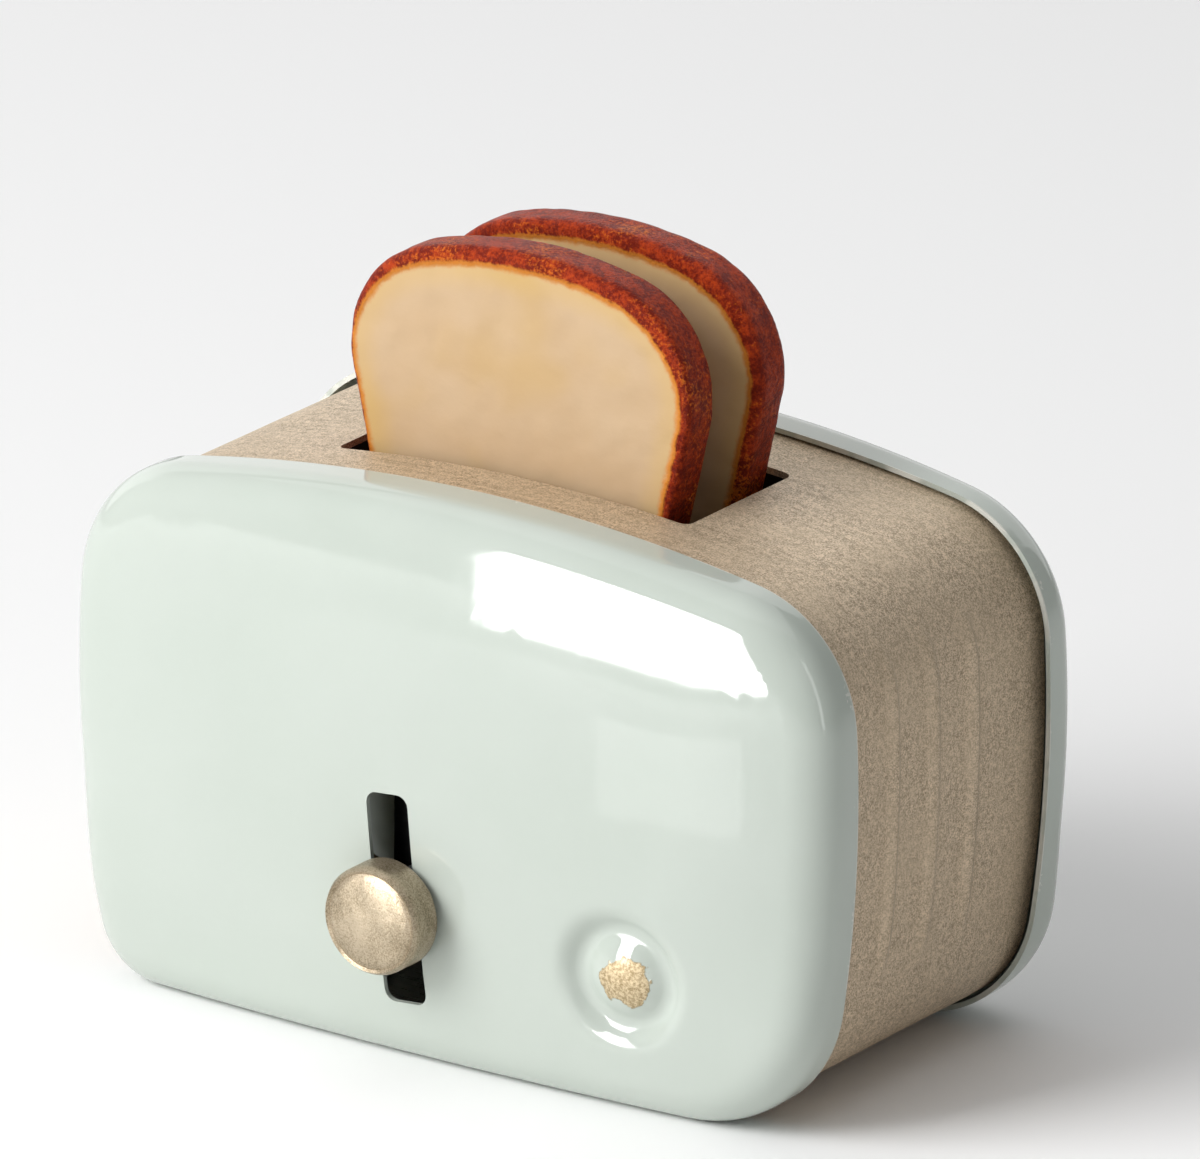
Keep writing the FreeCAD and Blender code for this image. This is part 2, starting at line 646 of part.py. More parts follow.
def make_band():
    """One strip bent round the sides and the top, with the bread opening and pressed side beads."""
    body = new_body("body_band")
    outer = arched_outline(body, "band_outline", CASING, BAND_OUT, BAND_NARROW)
    feature(body, "Pad", "band_block", Profile=outer, Length="2 * %s" % BAND_END, Midplane=True)
    inner = arched_outline(body, "band_hollow_outline", CASING, BAND_IN, BAND_NARROW)
    feature(body, "Pocket", "band_hollow", Profile=inner, Midplane=True,
            Length="2 * (%s + Sizes.overrun)" % BAND_END)
    mouth = Drawing(body, "band_mouth_outline", "XZ_Plane")
    above = "%s + Sizes.base_sheet" % BAND_IN
    mouth.polygon([(MOUTH_LEFT, "0"), (MOUTH_RIGHT, "0"), (MOUTH_RIGHT, above), (MOUTH_LEFT, above)])
    feature(body, "Pocket", "band_mouth", Profile=mouth.sketch, Midplane=True,
            Length="2 * (%s + Sizes.overrun)" % BAND_END)
    ring(body, "bread_opening", OPENING_LEFT, OPENING_RIGHT, OPENING_HALF, "Sizes.opening_corner",
         "Sizes.casing_height / 2", "Sizes.casing_height")
    radius = "(Sizes.side_radius - %s)" % BAND_OUT
    surface = "(Sizes.casing_width / 2 - %s - %s)" % (BAND_NARROW, BAND_OUT)
    curve = "(1 / (1 / %s + 8 * Sizes.bead_rise / Sizes.bead_length ^ 2))" % radius
    slope = "asin((Sizes.bead_middle_height - Sizes.side_middle_height) / %s)" % radius
    apart = "(%s + Sizes.bead_rise - %s)" % (radius, curve)
    centre_x = "(%s - %s + %s * cos(%s))" % (surface, radius, apart, slope)
    centre_z = "(Sizes.side_middle_height + %s * sin(%s))" % (apart, slope)
    beads = Drawing(body, "bead_sections", "XY_Plane", centre_z, centre_x)
    root = "(%s - Sizes.bead_rise - Sizes.bead_root)" % curve
    for index in range(round(number("Sizes.bead_count"))):
        add_bead(beads, root, curve, "Sizes.bead_first + %d * Sizes.bead_pitch" % index)
    rising = "asin((Sizes.bead_middle_height + Sizes.bead_length / 2 - %s) / %s)" % (centre_z, curve)
    falling = "asin((%s - Sizes.bead_middle_height + Sizes.bead_length / 2) / %s)" % (centre_z, curve)
    right = feature(body, "Revolution", "beads_right", Profile=beads.sketch, Type="TwoAngles",
                    ReferenceAxis=(beads.sketch, ["V_Axis"]), Angle=falling, Angle2=rising)
    mirrored = body.newObject("PartDesign::Mirrored", "beads_left")
    mirrored.Originals = [right]
    mirrored.MirrorPlane = (origin_feature(body, "YZ_Plane"), [""])
    body.Tip = mirrored
    doc.recompute()
    return body


def add_bead(drawing, root, crest, middle):
    """Adds a bead's section: a shallow arc over a base line, from root to crest."""
    low = number("%s - Sizes.bead_width / 2" % middle)
    high = number("%s + Sizes.bead_width / 2" % middle)
    base = number(root)
    rise = number(crest) - base
    half = (high - low) / 2
    radius = (half ** 2 + rise ** 2) / (2 * rise)
    centre = (base + rise - radius, (low + high) / 2)
    reach = math.asin(half / radius)
    arc = drawing.arc(centre, radius, -reach, reach)
    line = drawing.line((base, high), (base, low))
    drawing.join(arc, 2, line, 1)
    drawing.join(line, 2, arc, 1)
    drawing.pin(arc, 1, root, "%s - Sizes.bead_width / 2" % middle)
    drawing.pin(arc, 2, root, "%s + Sizes.bead_width / 2" % middle)
    height = "(%s - %s)" % (crest, root)
    drawing.bind("Radius", arc, "((Sizes.bead_width / 2) ^ 2 + %s ^ 2) / (2 * %s)" % (height, height))


body_band = make_band()


# Base plate, brackets and screws

def make_base_plate():
    """A flat plate on the band's lips, with holes for the screws and the rods' riveted necks."""
    body = new_body("base_plate")
    plan = Drawing(body, "base_plan", "XY_Plane", BASE_BOTTOM)
    plan.rounded_rectangle("(%s - Sizes.base_lap)" % MOUTH_LEFT, "(%s + Sizes.base_lap)" % MOUTH_RIGHT,
                           "-" + BASE_EDGE, BASE_EDGE, "Sizes.base_corner")
    feature(body, "Pad", "base_sheet_pad", Profile=plan.sketch, Length="Sizes.base_sheet")
    holes = Drawing(body, "base_holes", "XY_Plane", BASE_BOTTOM)
    for across in SCREWS.values():
        for along in ("-", ""):
            holes.circle(across, along + SCREW_Y, "Sizes.screw_radius + Sizes.screw_clearance")
    for place in RODS.values():
        holes.circle(place, "0", "Sizes.rod_neck_radius + Sizes.fit_gap")
    feature(body, "Pocket", "base_drilling", Profile=holes.sketch, Length="Sizes.base_sheet",
            Reversed=True)
    return body


def make_brackets(label, side):
    """Two stepped brackets that join a cover's skirt to the base plate."""
    body = new_body(label)
    low = "(Sizes.cover_sheet + Sizes.fit_gap + Sizes.bracket_sheet / 2)"
    high = "(%s + Sizes.fit_gap + Sizes.bracket_sheet / 2)" % BASE_TOP
    step = "(%s + Sizes.bracket_step_gap + Sizes.bracket_sheet / 2)" % BASE_EDGE
    outer = "(%s + Sizes.bracket_weld)" % RIM
    inner = "(%s - Sizes.bracket_run)" % BASE_EDGE
    for hand, across in SCREWS.items():
        name = "%s_%s" % (label, hand)
        profile = Drawing(body, name + "_profile", "YZ_Plane", across)
        path = [(outer, low), (step, low), (step, high), (inner, high)]
        profile.strip([("%d * %s" % (side, y), z) for y, z in path], "Sizes.bracket_sheet",
                      "Sizes.bend_radius")
        feature(body, "Pad", name + "_strip", Profile=profile.sketch, Midplane=True,
                Length="Sizes.bracket_width")
        hole = Drawing(body, name + "_hole", "XY_Plane", BASE_TOP)
        hole.circle(across, "%d * %s" % (side, SCREW_Y), "Sizes.screw_radius + Sizes.fit_gap")
        feature(body, "Pocket", name + "_tapping", Profile=hole.sketch,
                Length="2 * Sizes.bracket_sheet", Reversed=True)
    return body


def make_screws():
    """Four slotted cheese-head screws, put in from below."""
    body = new_body("base_screws")
    seat = "(%s - Sizes.fit_gap)" % BASE_BOTTOM
    tip = "(%s + Sizes.fit_gap + Sizes.bracket_sheet + Sizes.screw_point)" % BASE_TOP
    head = "(%s - Sizes.screw_head_height)" % seat
    reach = "(Sizes.screw_head_radius + Sizes.overrun)"
    slit = "Sizes.screw_drive_width / 2"
    for hand, across in SCREWS.items():
        for along in ("-", ""):
            name = "screw_%s_%s" % (hand, "front" if along else "rear")
            shank = Drawing(body, name + "_shank_plan", "XY_Plane", seat)
            shank.circle(across, along + SCREW_Y, "Sizes.screw_radius")
            feature(body, "Pad", name + "_shank", Profile=shank.sketch, Length="%s - %s" % (tip, seat))
            cap = Drawing(body, name + "_head_plan", "XY_Plane", head)
            cap.circle(across, along + SCREW_Y, "Sizes.screw_head_radius")
            feature(body, "Pad", name + "_head", Profile=cap.sketch, Length="Sizes.screw_head_height")
            drive = Drawing(body, name + "_drive_plan", "XY_Plane", head, across, along + SCREW_Y)
            drive.polygon([("-" + reach, "-" + slit), (reach, "-" + slit), (reach, slit),
                           ("-" + reach, slit)])
            feature(body, "Pocket", name + "_drive", Profile=drive.sketch, Reversed=True,
                    Length="Sizes.screw_drive_depth")
    return body


base_plate = make_base_plate()
front_brackets = make_brackets("front_brackets", -1)
rear_brackets = make_brackets("rear_brackets", 1)
base_screws = make_screws()


# Toast well and guide rods

def arch_band(drawing, outer, inner, left, right):
    """Adds the section of a sheet that follows the arch, between two radii and two places across."""
    centre = (0.0, number("Sizes.casing_height - Sizes.arch_radius"))
    arcs = []
    for radius in (outer, inner):
        r = number(radius)
        first = math.acos(number(right) / r)
        last = math.acos(number(left) / r)
        arcs.append((drawing.arc(centre, r, first, last), r, first, last))
    ends = []
    for angle_index, place in ((3, left), (2, right)):
        points = [(centre[0] + item[1] * math.cos(item[angle_index]),
                   centre[1] + item[1] * math.sin(item[angle_index])) for item in arcs]
        ends.append(drawing.line(points[0], points[1]))
    top, bottom = arcs[0][0], arcs[1][0]
    drawing.join(top, 2, ends[0], 1)
    drawing.join(bottom, 2, ends[0], 2)
    drawing.join(top, 1, ends[1], 1)
    drawing.join(bottom, 1, ends[1], 2)
    for item, radius in ((top, outer), (bottom, inner)):
        drawing.pin(item, 3, "0", "Sizes.casing_height - Sizes.arch_radius")
        drawing.bind("Radius", item, radius)
        drawing.bind("DistanceX", -1, 1, item, 2, left)
        drawing.bind("DistanceX", -1, 1, item, 1, right)


def make_well():
    """A collar under the opening that guides the slices, with two ears that hold the rods."""
    body = new_body("toast_well")
    under_band = "(Sizes.arch_radius - %s)" % WELL_TOP
    low = "(%s - Sizes.well_lap)" % TRAY_CREST
    left = "(%s - Sizes.well_sheet)" % OPENING_LEFT
    right = "(%s + Sizes.well_sheet)" % OPENING_RIGHT
    half = "(%s + Sizes.well_sheet)" % OPENING_HALF
    walls = Drawing(body, "well_plan", "XY_Plane", low)
    walls.rounded_rectangle(left, right, "-" + half, half, "(Sizes.opening_corner + Sizes.well_sheet)")
    feature(body, "Pad", "well_block", Profile=walls.sketch, Length="Sizes.casing_height - %s" % low)
    trim = Drawing(body, "well_trim_outline", "XZ_Plane")
    arch_band(trim, "(Sizes.arch_radius + 2 * Sizes.overrun)", under_band, "-Sizes.casing_width / 2",
              "Sizes.casing_width / 2")
    feature(body, "Pocket", "well_trim", Profile=trim.sketch, Midplane=True, Length="2 * %s" % BAND_END)
    skin = "(%s - Sizes.well_sheet)" % under_band
    flange = Drawing(body, "well_flange_section", "XZ_Plane")
    arch_band(flange, under_band, skin, "%s - Sizes.well_flange" % left, "%s + Sizes.well_flange" % right)
    feature(body, "Pad", "well_flange_pad", Profile=flange.sketch, Midplane=True,
            Length="2 * (%s + Sizes.well_flange)" % half)
    ears = Drawing(body, "well_ear_section", "XZ_Plane")
    arch_band(ears, under_band, skin, "%s - Sizes.well_ear_overhang" % RODS["left"],
              "%s + Sizes.well_ear_overhang" % RODS["right"])
    feature(body, "Pad", "well_ears", Profile=ears.sketch, Midplane=True, Length="Sizes.well_ear_width")
    ring(body, "well_mouth", OPENING_LEFT, OPENING_RIGHT, OPENING_HALF, "Sizes.opening_corner",
         "%s - Sizes.overrun" % low, "Sizes.casing_height")
    ends = Drawing(body, "well_end_outline", "YZ_Plane")
    below = "(Sizes.casing_height - %s - Sizes.well_end_depth)" % WELL_TOP
    under = "%s - Sizes.overrun" % low
    ends.polygon([("-" + OPENING_HALF, under), (OPENING_HALF, under), (OPENING_HALF, below),
                  ("-" + OPENING_HALF, below)])
    feature(body, "Pocket", "well_end_cut", Profile=ends.sketch, Midplane=True,
            Length="Sizes.casing_width")
    holes = Drawing(body, "well_rod_holes", "XY_Plane", below)
    for place in RODS.values():
        holes.circle(place, "0", "Sizes.rod_neck_radius + Sizes.fit_gap")
    feature(body, "Pocket", "well_rod_drilling", Profile=holes.sketch, Length="Sizes.casing_height",
            Reversed=True)
    return body


def turned(label, corners, plane, lift, along, up="0"):
    """A turned piece, from its half section of (radius, place along the axis) corners."""
    body = new_body(label)
    section = Drawing(body, label + "_section", plane, lift, along, up)
    section.polygon(corners)
    feature(body, "Revolution", label + "_turning", Profile=section.sketch, Angle="360",
            ReferenceAxis=(section.sketch, ["V_Axis"]))
    return body


def make_rod(hand):
    """A guide rod, riveted under the base plate and held by the well's ear at the top."""
    place = RODS[hand]
    ear_top = "(Sizes.casing_height - Sizes.arch_radius + sqrt((Sizes.arch_radius - %s) ^ 2 - (abs(%s)" \
              " + Sizes.rod_neck_radius) ^ 2))" % (WELL_TOP, place)
    shoulder = "(Sizes.casing_height - Sizes.arch_radius + sqrt((Sizes.arch_radius - %s" \
               " - Sizes.well_sheet) ^ 2 - (abs(%s) + Sizes.rod_radius) ^ 2) - Sizes.fit_gap)" \
               % (WELL_TOP, place)
    neck = "Sizes.rod_neck_radius"
    body_radius = "Sizes.rod_radius"
    head_top = "(%s - Sizes.fit_gap)" % BASE_BOTTOM
    head_bottom = "(%s - Sizes.rod_rivet_height)" % head_top
    foot = "(%s + Sizes.fit_gap)" % BASE_TOP
    corners = [("0", head_bottom), ("Sizes.rod_rivet_radius", head_bottom),
               ("Sizes.rod_rivet_radius", head_top), (neck, head_top), (neck, foot), (body_radius, foot),
               (body_radius, shoulder), (neck, shoulder), (neck, ear_top), ("0", ear_top)]
    return turned("guide_rod_" + hand, corners, "XZ_Plane", "0", place)


toast_well = make_well()
guide_rods = [make_rod(hand) for hand in RODS]


# Carriage tray, bushes and friction spring

def make_tray():
    """One pressed strip with two troughs for the slices, on a spine whose ends take the bushes."""
    body = new_body("carriage_tray")
    gauge = "Sizes.tray_sheet"
    wall = "(%s - %s / 2)" % (TRAY_HALF, gauge)
    ridge = "(Sizes.slice_pitch / 2 - Sizes.slice_thickness / 2 - Sizes.slice_play - %s / 2)" % gauge
    floor = "(%s - %s / 2)" % (TRAY_FLOOR, gauge)
    ridge_top = "(%s - %s / 2)" % (TRAY_CREST, gauge)
    section = Drawing(body, "tray_section", "YZ_Plane", TRAY_LEFT)
    section.strip([("-" + wall, TRAY_CREST), ("-" + wall, floor), ("-" + ridge, floor),
                   ("-" + ridge, ridge_top), (ridge, ridge_top), (ridge, floor), (wall, floor),
                   (wall, TRAY_CREST)],
                  gauge, "Sizes.bend_radius")
    feature(body, "Pad", "tray_strip", Profile=section.sketch, Length="%s - %s" % (TRAY_RIGHT, TRAY_LEFT))
    spine = Drawing(body, "tray_spine_plan", "XY_Plane", TRAY_BOTTOM)
    half = "Sizes.tongue_width / 2"
    spine.rounded_rectangle("%s - %s" % (RODS["left"], half), "%s + %s" % (RODS["right"], half),
                            "-" + half, half, "Sizes.tongue_corner")
    feature(body, "Pad", "tray_spine", Profile=spine.sketch, Length=gauge)
    holes = Drawing(body, "tray_holes", "XY_Plane", TRAY_BOTTOM)
    for place in RODS.values():
        holes.circle(place, "0", "%s + Sizes.fit_gap" % BUSH_OUTSIDE)
    for sign in ("-", "+"):
        holes.circle("Sizes.slot_offset %s Sizes.rivet_pitch / 2" % sign, RIVET_Y,
                     "Sizes.rivet_radius + Sizes.fit_gap")
    holes.circle(SPRING_RIVET_X, "0", "Sizes.rivet_radius + Sizes.fit_gap")
    feature(body, "Pocket", "tray_drilling", Profile=holes.sketch, Length=gauge, Reversed=True)
    return body


def make_bush(hand):
    """A flanged bush in the tray's tongue that runs on its guide rod."""
    under = "(%s + Sizes.fit_gap)" % TRAY_FLOOR
    top = "(%s + Sizes.bush_flange_sheet)" % under
    bottom = "(%s - Sizes.bush_height)" % top
    rim = "(%s + Sizes.bush_flange)" % BUSH_OUTSIDE
    corners = [(BUSH_BORE, bottom), (BUSH_OUTSIDE, bottom), (BUSH_OUTSIDE, under), (rim, under), (rim, top),
               (BUSH_BORE, top)]
    return turned("bush_" + hand, corners, "XZ_Plane", "0", RODS[hand])


def make_spring():
    """A leaf under the left tongue that rubs on the rod and holds the lever where it is left."""
    body = new_body("friction_spring")
    gauge = "Sizes.spring_sheet"
    seat = "(%s - Sizes.fit_gap - %s / 2)" % (TRAY_BOTTOM, gauge)
    drop = "(%s - Sizes.spring_seat)" % TRAY_LEFT
    step = "(%s - Sizes.spring_step_height)" % seat
    leg = "(%s + Sizes.rod_radius + Sizes.spring_gap + %s / 2)" % (RODS["left"], gauge)
    profile = Drawing(body, "spring_profile", "XZ_Plane")
    profile.strip([(TRAY_LEFT, seat), (drop, seat), (drop, step), (leg, step),
                   (leg, "(%s - Sizes.spring_leg)" % step)], gauge, "Sizes.bend_radius")
    feature(body, "Pad", "spring_leaf", Profile=profile.sketch, Midplane=True,
            Length="Sizes.spring_width")
    hole = Drawing(body, "spring_hole", "XY_Plane", TRAY_BOTTOM)
    hole.circle(SPRING_RIVET_X, "0", "Sizes.rivet_radius + Sizes.fit_gap")
    feature(body, "Pocket", "spring_drilling", Profile=hole.sketch, Length="Sizes.overrun")
    return body


def add_rivet(body, name, x, y, sheet_below):
    """Adds a rivet that is flush with the tray's floor and headed under the sheet below."""
    head_top = "(%s - 2 * Sizes.fit_gap - %s)" % (TRAY_BOTTOM, sheet_below)
    head_bottom = "(%s - Sizes.rivet_head_height)" % head_top
    section = Drawing(body, name + "_section", "XZ_Plane", "-1 * %s" % y, x)
    section.polygon([("0", head_bottom), ("Sizes.rivet_head_radius", head_bottom),
                     ("Sizes.rivet_head_radius", head_top), ("Sizes.rivet_radius", head_top),
                     ("Sizes.rivet_radius", TRAY_FLOOR), ("0", TRAY_FLOOR)])
    feature(body, "Revolution", name, Profile=section.sketch, Angle="360",
            ReferenceAxis=(section.sketch, ["V_Axis"]))


carriage_tray = make_tray()
bushes = [make_bush(hand) for hand in RODS]
friction_spring = make_spring()
spring_rivet = new_body("spring_rivet")
add_rivet(spring_rivet, "spring_rivet_turning", SPRING_RIVET_X, "0", "Sizes.spring_sheet")


# Carriage arm and lever

def make_arm():
    """A bent strip from under the tray down to the lever stem behind the slot."""
    body = new_body("carriage_arm")
    foot = "(%s - Sizes.fit_gap - Sizes.arm_sheet / 2)" % TRAY_BOTTOM
    shelf = "(%s - Sizes.arm_drop)" % foot
    profile = Drawing(body, "arm_profile", "YZ_Plane", "Sizes.slot_offset")
    profile.strip([("-Sizes.arm_foot_start", foot), ("-Sizes.arm_drop_offset - Sizes.arm_sheet / 2", foot),
                   ("-Sizes.arm_drop_offset - Sizes.arm_sheet / 2", shelf), ("-Sizes.arm_reach", shelf),
                   ("-Sizes.arm_reach", "(Sizes.lever_height - Sizes.arm_tail)")],
                  "Sizes.arm_sheet", "Sizes.bend_radius")
    feature(body, "Pad", "arm_strip", Profile=profile.sketch, Midplane=True, Length="Sizes.arm_width")
    stem_hole = Drawing(body, "arm_stem_hole", "XZ_Plane", "-1 * %s" % ARM_BACK)
    stem_hole.circle("Sizes.slot_offset", "Sizes.lever_height", "Sizes.stem_neck_radius + Sizes.fit_gap")
    feature(body, "Pocket", "arm_stem_drilling", Profile=stem_hole.sketch, Length="Sizes.arm_sheet",
            Reversed=True)
    holes = Drawing(body, "arm_rivet_holes", "XY_Plane", "%s - Sizes.arm_sheet - Sizes.overrun" % TRAY_BOTTOM)
    for sign in ("-", "+"):
        holes.circle("Sizes.slot_offset %s Sizes.rivet_pitch / 2" % sign, RIVET_Y,
                     "Sizes.rivet_radius + Sizes.fit_gap")
    feature(body, "Pocket", "arm_rivet_drilling", Profile=holes.sketch, Reversed=True,
            Length="Sizes.arm_sheet + Sizes.overrun")
    return body


def ring_piece(label, bore, outside, back, thickness):
    """A flat ring square to the lever, whose rear face lies at back."""
    body = new_body(label)
    plan = Drawing(body, label + "_plan", "XZ_Plane", "-1 * %s" % back, "Sizes.slot_offset",
                   "Sizes.lever_height")
    plan.circle("0", "0", outside)
    plan.circle("0", "0", bore)
    feature(body, "Pad", label + "_ring", Profile=plan.sketch, Length=thickness)
    return body


def make_knob():
    """A turned button with a rounded face edge and a blind bore for the stem's tenon."""
    bore = "(Sizes.stem_neck_radius + Sizes.fit_gap)"
    front = "(%s - Sizes.knob_length)" % KNOB_BACK
    bottom = "(%s - Sizes.stem_tenon - Sizes.fit_gap)" % KNOB_BACK
    corners = [("0", front), ("Sizes.knob_radius", front), ("Sizes.knob_radius", KNOB_BACK),
               (bore, KNOB_BACK), (bore, bottom), ("0", bottom)]
    body = turned("lever_knob", corners, "XY_Plane", "Sizes.lever_height", "Sizes.slot_offset")
    blank = body.Tip
    feature(body, "Fillet", "knob_face_edge", Base=(blank, [rim_edge(blank, number(front))]),
            Radius="Sizes.knob_front_round")
    faced = body.Tip
    feature(body, "Fillet", "knob_back_edge", Base=(faced, [rim_edge(faced, number(KNOB_BACK))]),
            Radius="Sizes.knob_back_round")
    return body


def rim_edge(item, y):
    """The name of the knob's outer circle at a place along the lever."""
    best = None
    for index, edge in enumerate(item.Shape.Edges):
        on_place = abs(edge.BoundBox.YMin - y) < 0.001 and abs(edge.BoundBox.YMax - y) < 0.001
        if on_place and (best is None or edge.Length > item.Shape.Edges[best].Length):
            best = index
    return "Edge%d" % (best + 1)


def make_stem():
    """A turned stem with a tenon for the knob, a shoulder, a neck and a groove for the clip."""
    tenon = "(%s - Sizes.stem_tenon)" % KNOB_BACK
    shoulder = "(%s - Sizes.fit_gap)" % WASHER_FRONT
    groove_end = "(%s + Sizes.clip_sheet + Sizes.fit_gap)" % CLIP_FRONT
    groove_start = "(%s - Sizes.fit_gap / 2)" % CLIP_FRONT
    end = "(%s + Sizes.stem_end)" % groove_end
    neck = "Sizes.stem_neck_radius"
    groove = "Sizes.stem_groove_radius"
    corners = [("0", tenon), (neck, tenon), (neck, KNOB_BACK), ("Sizes.stem_radius", KNOB_BACK),
               ("Sizes.stem_radius", shoulder), (neck, shoulder), (neck, groove_start),
               (groove, groove_start), (groove, groove_end), (neck, groove_end), (neck, end), ("0", end)]
    return turned("lever_stem", corners, "XY_Plane", "Sizes.lever_height", "Sizes.slot_offset")


def make_clip():
    """A retaining ring with an open mouth, pushed into the stem's groove."""
    back = "(%s + Sizes.clip_sheet)" % CLIP_FRONT
    body = ring_piece("lever_clip", "Sizes.stem_groove_radius + Sizes.fit_gap", "Sizes.clip_radius", back,
                      "Sizes.clip_sheet")
    mouth = Drawing(body, "clip_mouth_outline", "XZ_Plane", "-1 * %s" % back, "Sizes.slot_offset",
                    "Sizes.lever_height")
    half = "Sizes.clip_mouth / 2"
    below = "-Sizes.clip_radius - Sizes.overrun"
    mouth.polygon([("-" + half, below), (half, below), (half, "0"), ("-" + half, "0")])
    feature(body, "Pocket", "clip_mouth_cut", Profile=mouth.sketch, Reversed=True,
            Length="Sizes.clip_sheet")
    return body


carriage_arm = make_arm()
arm_rivets = new_body("arm_rivets")
for sign in ("-", "+"):
    add_rivet(arm_rivets, "arm_rivet_" + ("left" if sign == "-" else "right"),
              "Sizes.slot_offset %s Sizes.rivet_pitch / 2" % sign, RIVET_Y, "Sizes.arm_sheet")
lever_knob = make_knob()
lever_stem = make_stem()
lever_washer = ring_piece("lever_washer", "Sizes.stem_neck_radius + Sizes.fit_gap",
                          "Sizes.washer_radius", "(%s + Sizes.washer_sheet)" % WASHER_FRONT,
                          "Sizes.washer_sheet")
lever_clip = make_clip()


# Bread slices

def make_slice(label, side):
    """A slice that stands in its trough of the tray, at side -1 for the front and 1 for the rear."""
    body = new_body(label)
    outline = arched_outline(body, label + "_outline", SLICE, lift="%d * Sizes.slice_pitch / 2" % -side,
                             along="Sizes.slice_offset",
                             up="%s + Sizes.fit_gap" % TRAY_FLOOR)
    feature(body, "Pad", label + "_crumb", Profile=outline, Length="Sizes.slice_thickness", Midplane=True)
    crumb = body.Tip
    faces = [farthest(crumb, (0, -1, 0)), farthest(crumb, (0, 1, 0))]
    feature(body, "Fillet", label + "_edges", Base=(crumb, faces), Radius="Sizes.slice_edge_round")
    return body


slices = [make_slice("toast_slice_front", -1), make_slice("toast_slice_rear", 1)]


# Stand every piece over the origin, check every object, then write one file for each piece
pieces = [front_cover, rear_cover, body_band, base_plate, front_brackets, rear_brackets, base_screws,
          toast_well, *guide_rods, carriage_tray, *bushes, friction_spring, spring_rivet, carriage_arm,
          arm_rivets, lever_knob, lever_stem, lever_washer, lever_clip, *slices]
for piece in pieces:
    piece.setExpression("Placement.Base.y", CASING_MIDDLE)
doc.recompute()
for item in doc.Objects:
    if "Invalid" in item.State or "Error" in item.State:
        raise RuntimeError("%s failed: %s" % (item.Label, item.State))
for piece in pieces:
    if piece.Shape.isNull() or not piece.Shape.isValid():
        raise RuntimeError("%s has no valid shape" % piece.Label)
os.makedirs("parts", exist_ok=True)
for piece in pieces:
    piece.Shape.exportStep("parts/%s.step" % piece.Label)
    print("%-18s %d solids %10.3f mm3" % (piece.Label, len(piece.Shape.Solids), piece.Shape.Volume))
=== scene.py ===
import bpy
import math
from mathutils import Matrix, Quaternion, Vector
from mathutils import noise as lumps


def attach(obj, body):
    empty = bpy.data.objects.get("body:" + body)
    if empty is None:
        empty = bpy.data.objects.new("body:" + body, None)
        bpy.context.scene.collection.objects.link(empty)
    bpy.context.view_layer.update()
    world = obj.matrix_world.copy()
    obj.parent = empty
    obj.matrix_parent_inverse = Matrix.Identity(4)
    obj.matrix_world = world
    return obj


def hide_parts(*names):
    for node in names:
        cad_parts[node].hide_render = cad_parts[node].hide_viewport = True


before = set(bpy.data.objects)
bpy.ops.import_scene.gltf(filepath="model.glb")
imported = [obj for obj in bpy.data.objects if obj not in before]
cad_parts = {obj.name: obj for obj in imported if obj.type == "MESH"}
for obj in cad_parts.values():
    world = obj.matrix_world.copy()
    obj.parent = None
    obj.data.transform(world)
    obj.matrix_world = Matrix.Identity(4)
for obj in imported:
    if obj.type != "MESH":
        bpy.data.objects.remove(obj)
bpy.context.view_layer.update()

print("frame loaded:", len(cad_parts), "nodes")
mm = 0.001
toMm = 1000.0
touching = 0.001  # mm, places closer than this are the same
squarely = 0.9  # a direction with this much of an axis in it counts as along that axis


# small helpers for picking things

def pickNothing():
    bpy.ops.object.select_all(action="DESELECT")


def pickOnly(piece):
    pickNothing()
    piece.select_set(True)
    bpy.context.view_layer.objects.active = piece


def openMesh(piece):
    pickOnly(piece)
    bpy.ops.object.mode_set(mode="EDIT")
    bpy.ops.mesh.select_all(action="SELECT")


def closeMesh():
    bpy.ops.object.mode_set(mode="OBJECT")


def startPicking(kind):
    # nothing picked in edit mode, and back in object mode, where picks can be set
    bpy.ops.object.mode_set(mode="EDIT")
    bpy.ops.mesh.select_mode(type=kind)
    bpy.ops.mesh.select_all(action="DESELECT")
    bpy.ops.object.mode_set(mode="OBJECT")


def selectFaces(piece, wanted):
    # faces are picked by their middle and normal
    startPicking("FACE")
    for face in piece.data.polygons:
        face.select = bool(wanted(face.center, face.normal))
    bpy.ops.object.mode_set(mode="EDIT")


def selectEdges(piece, wanted):
    # edges are picked by both their ends
    startPicking("EDGE")
    points = piece.data.vertices
    for edge in piece.data.edges:
        edge.select = bool(wanted(points[edge.vertices[0]].co, points[edge.vertices[1]].co))
    bpy.ops.object.mode_set(mode="EDIT")


def near(first, second):
    return abs(first - second) < touching


def selectLevelEdges(piece, y):
    # the edges that lie at one depth
    selectEdges(piece, lambda a, b: near(a.y / mm, y) and near(b.y / mm, y))


def selectLevelFaces(piece, y):
    # the faces that lie at one depth and look along Y
    selectFaces(piece, lambda middle, normal: near(middle.y / mm, y) and abs(normal.y) > squarely)


def applyPlace():
    bpy.ops.object.transform_apply(location=True, rotation=True, scale=True)


def extrude(across, along):
    bpy.ops.mesh.extrude_region_move(TRANSFORM_OT_translate={"value": (across * mm, along * mm, 0)})


def smoothAs(piece, name, angle):
    # named, and smooth where faces meet below an angle in degrees
    pickOnly(piece)
    bpy.ops.object.shade_smooth_by_angle(angle=math.radians(angle))
    piece.name = piece.data.name = name


def settle(piece, name, angle):
    # a closed piece that is done: at the origin, its normals outward, smooth and named
    closeMesh()
    pickOnly(piece)
    applyPlace()
    openMesh(piece)
    bpy.ops.mesh.normals_make_consistent(inside=False)
    closeMesh()
    smoothAs(piece, name, angle)


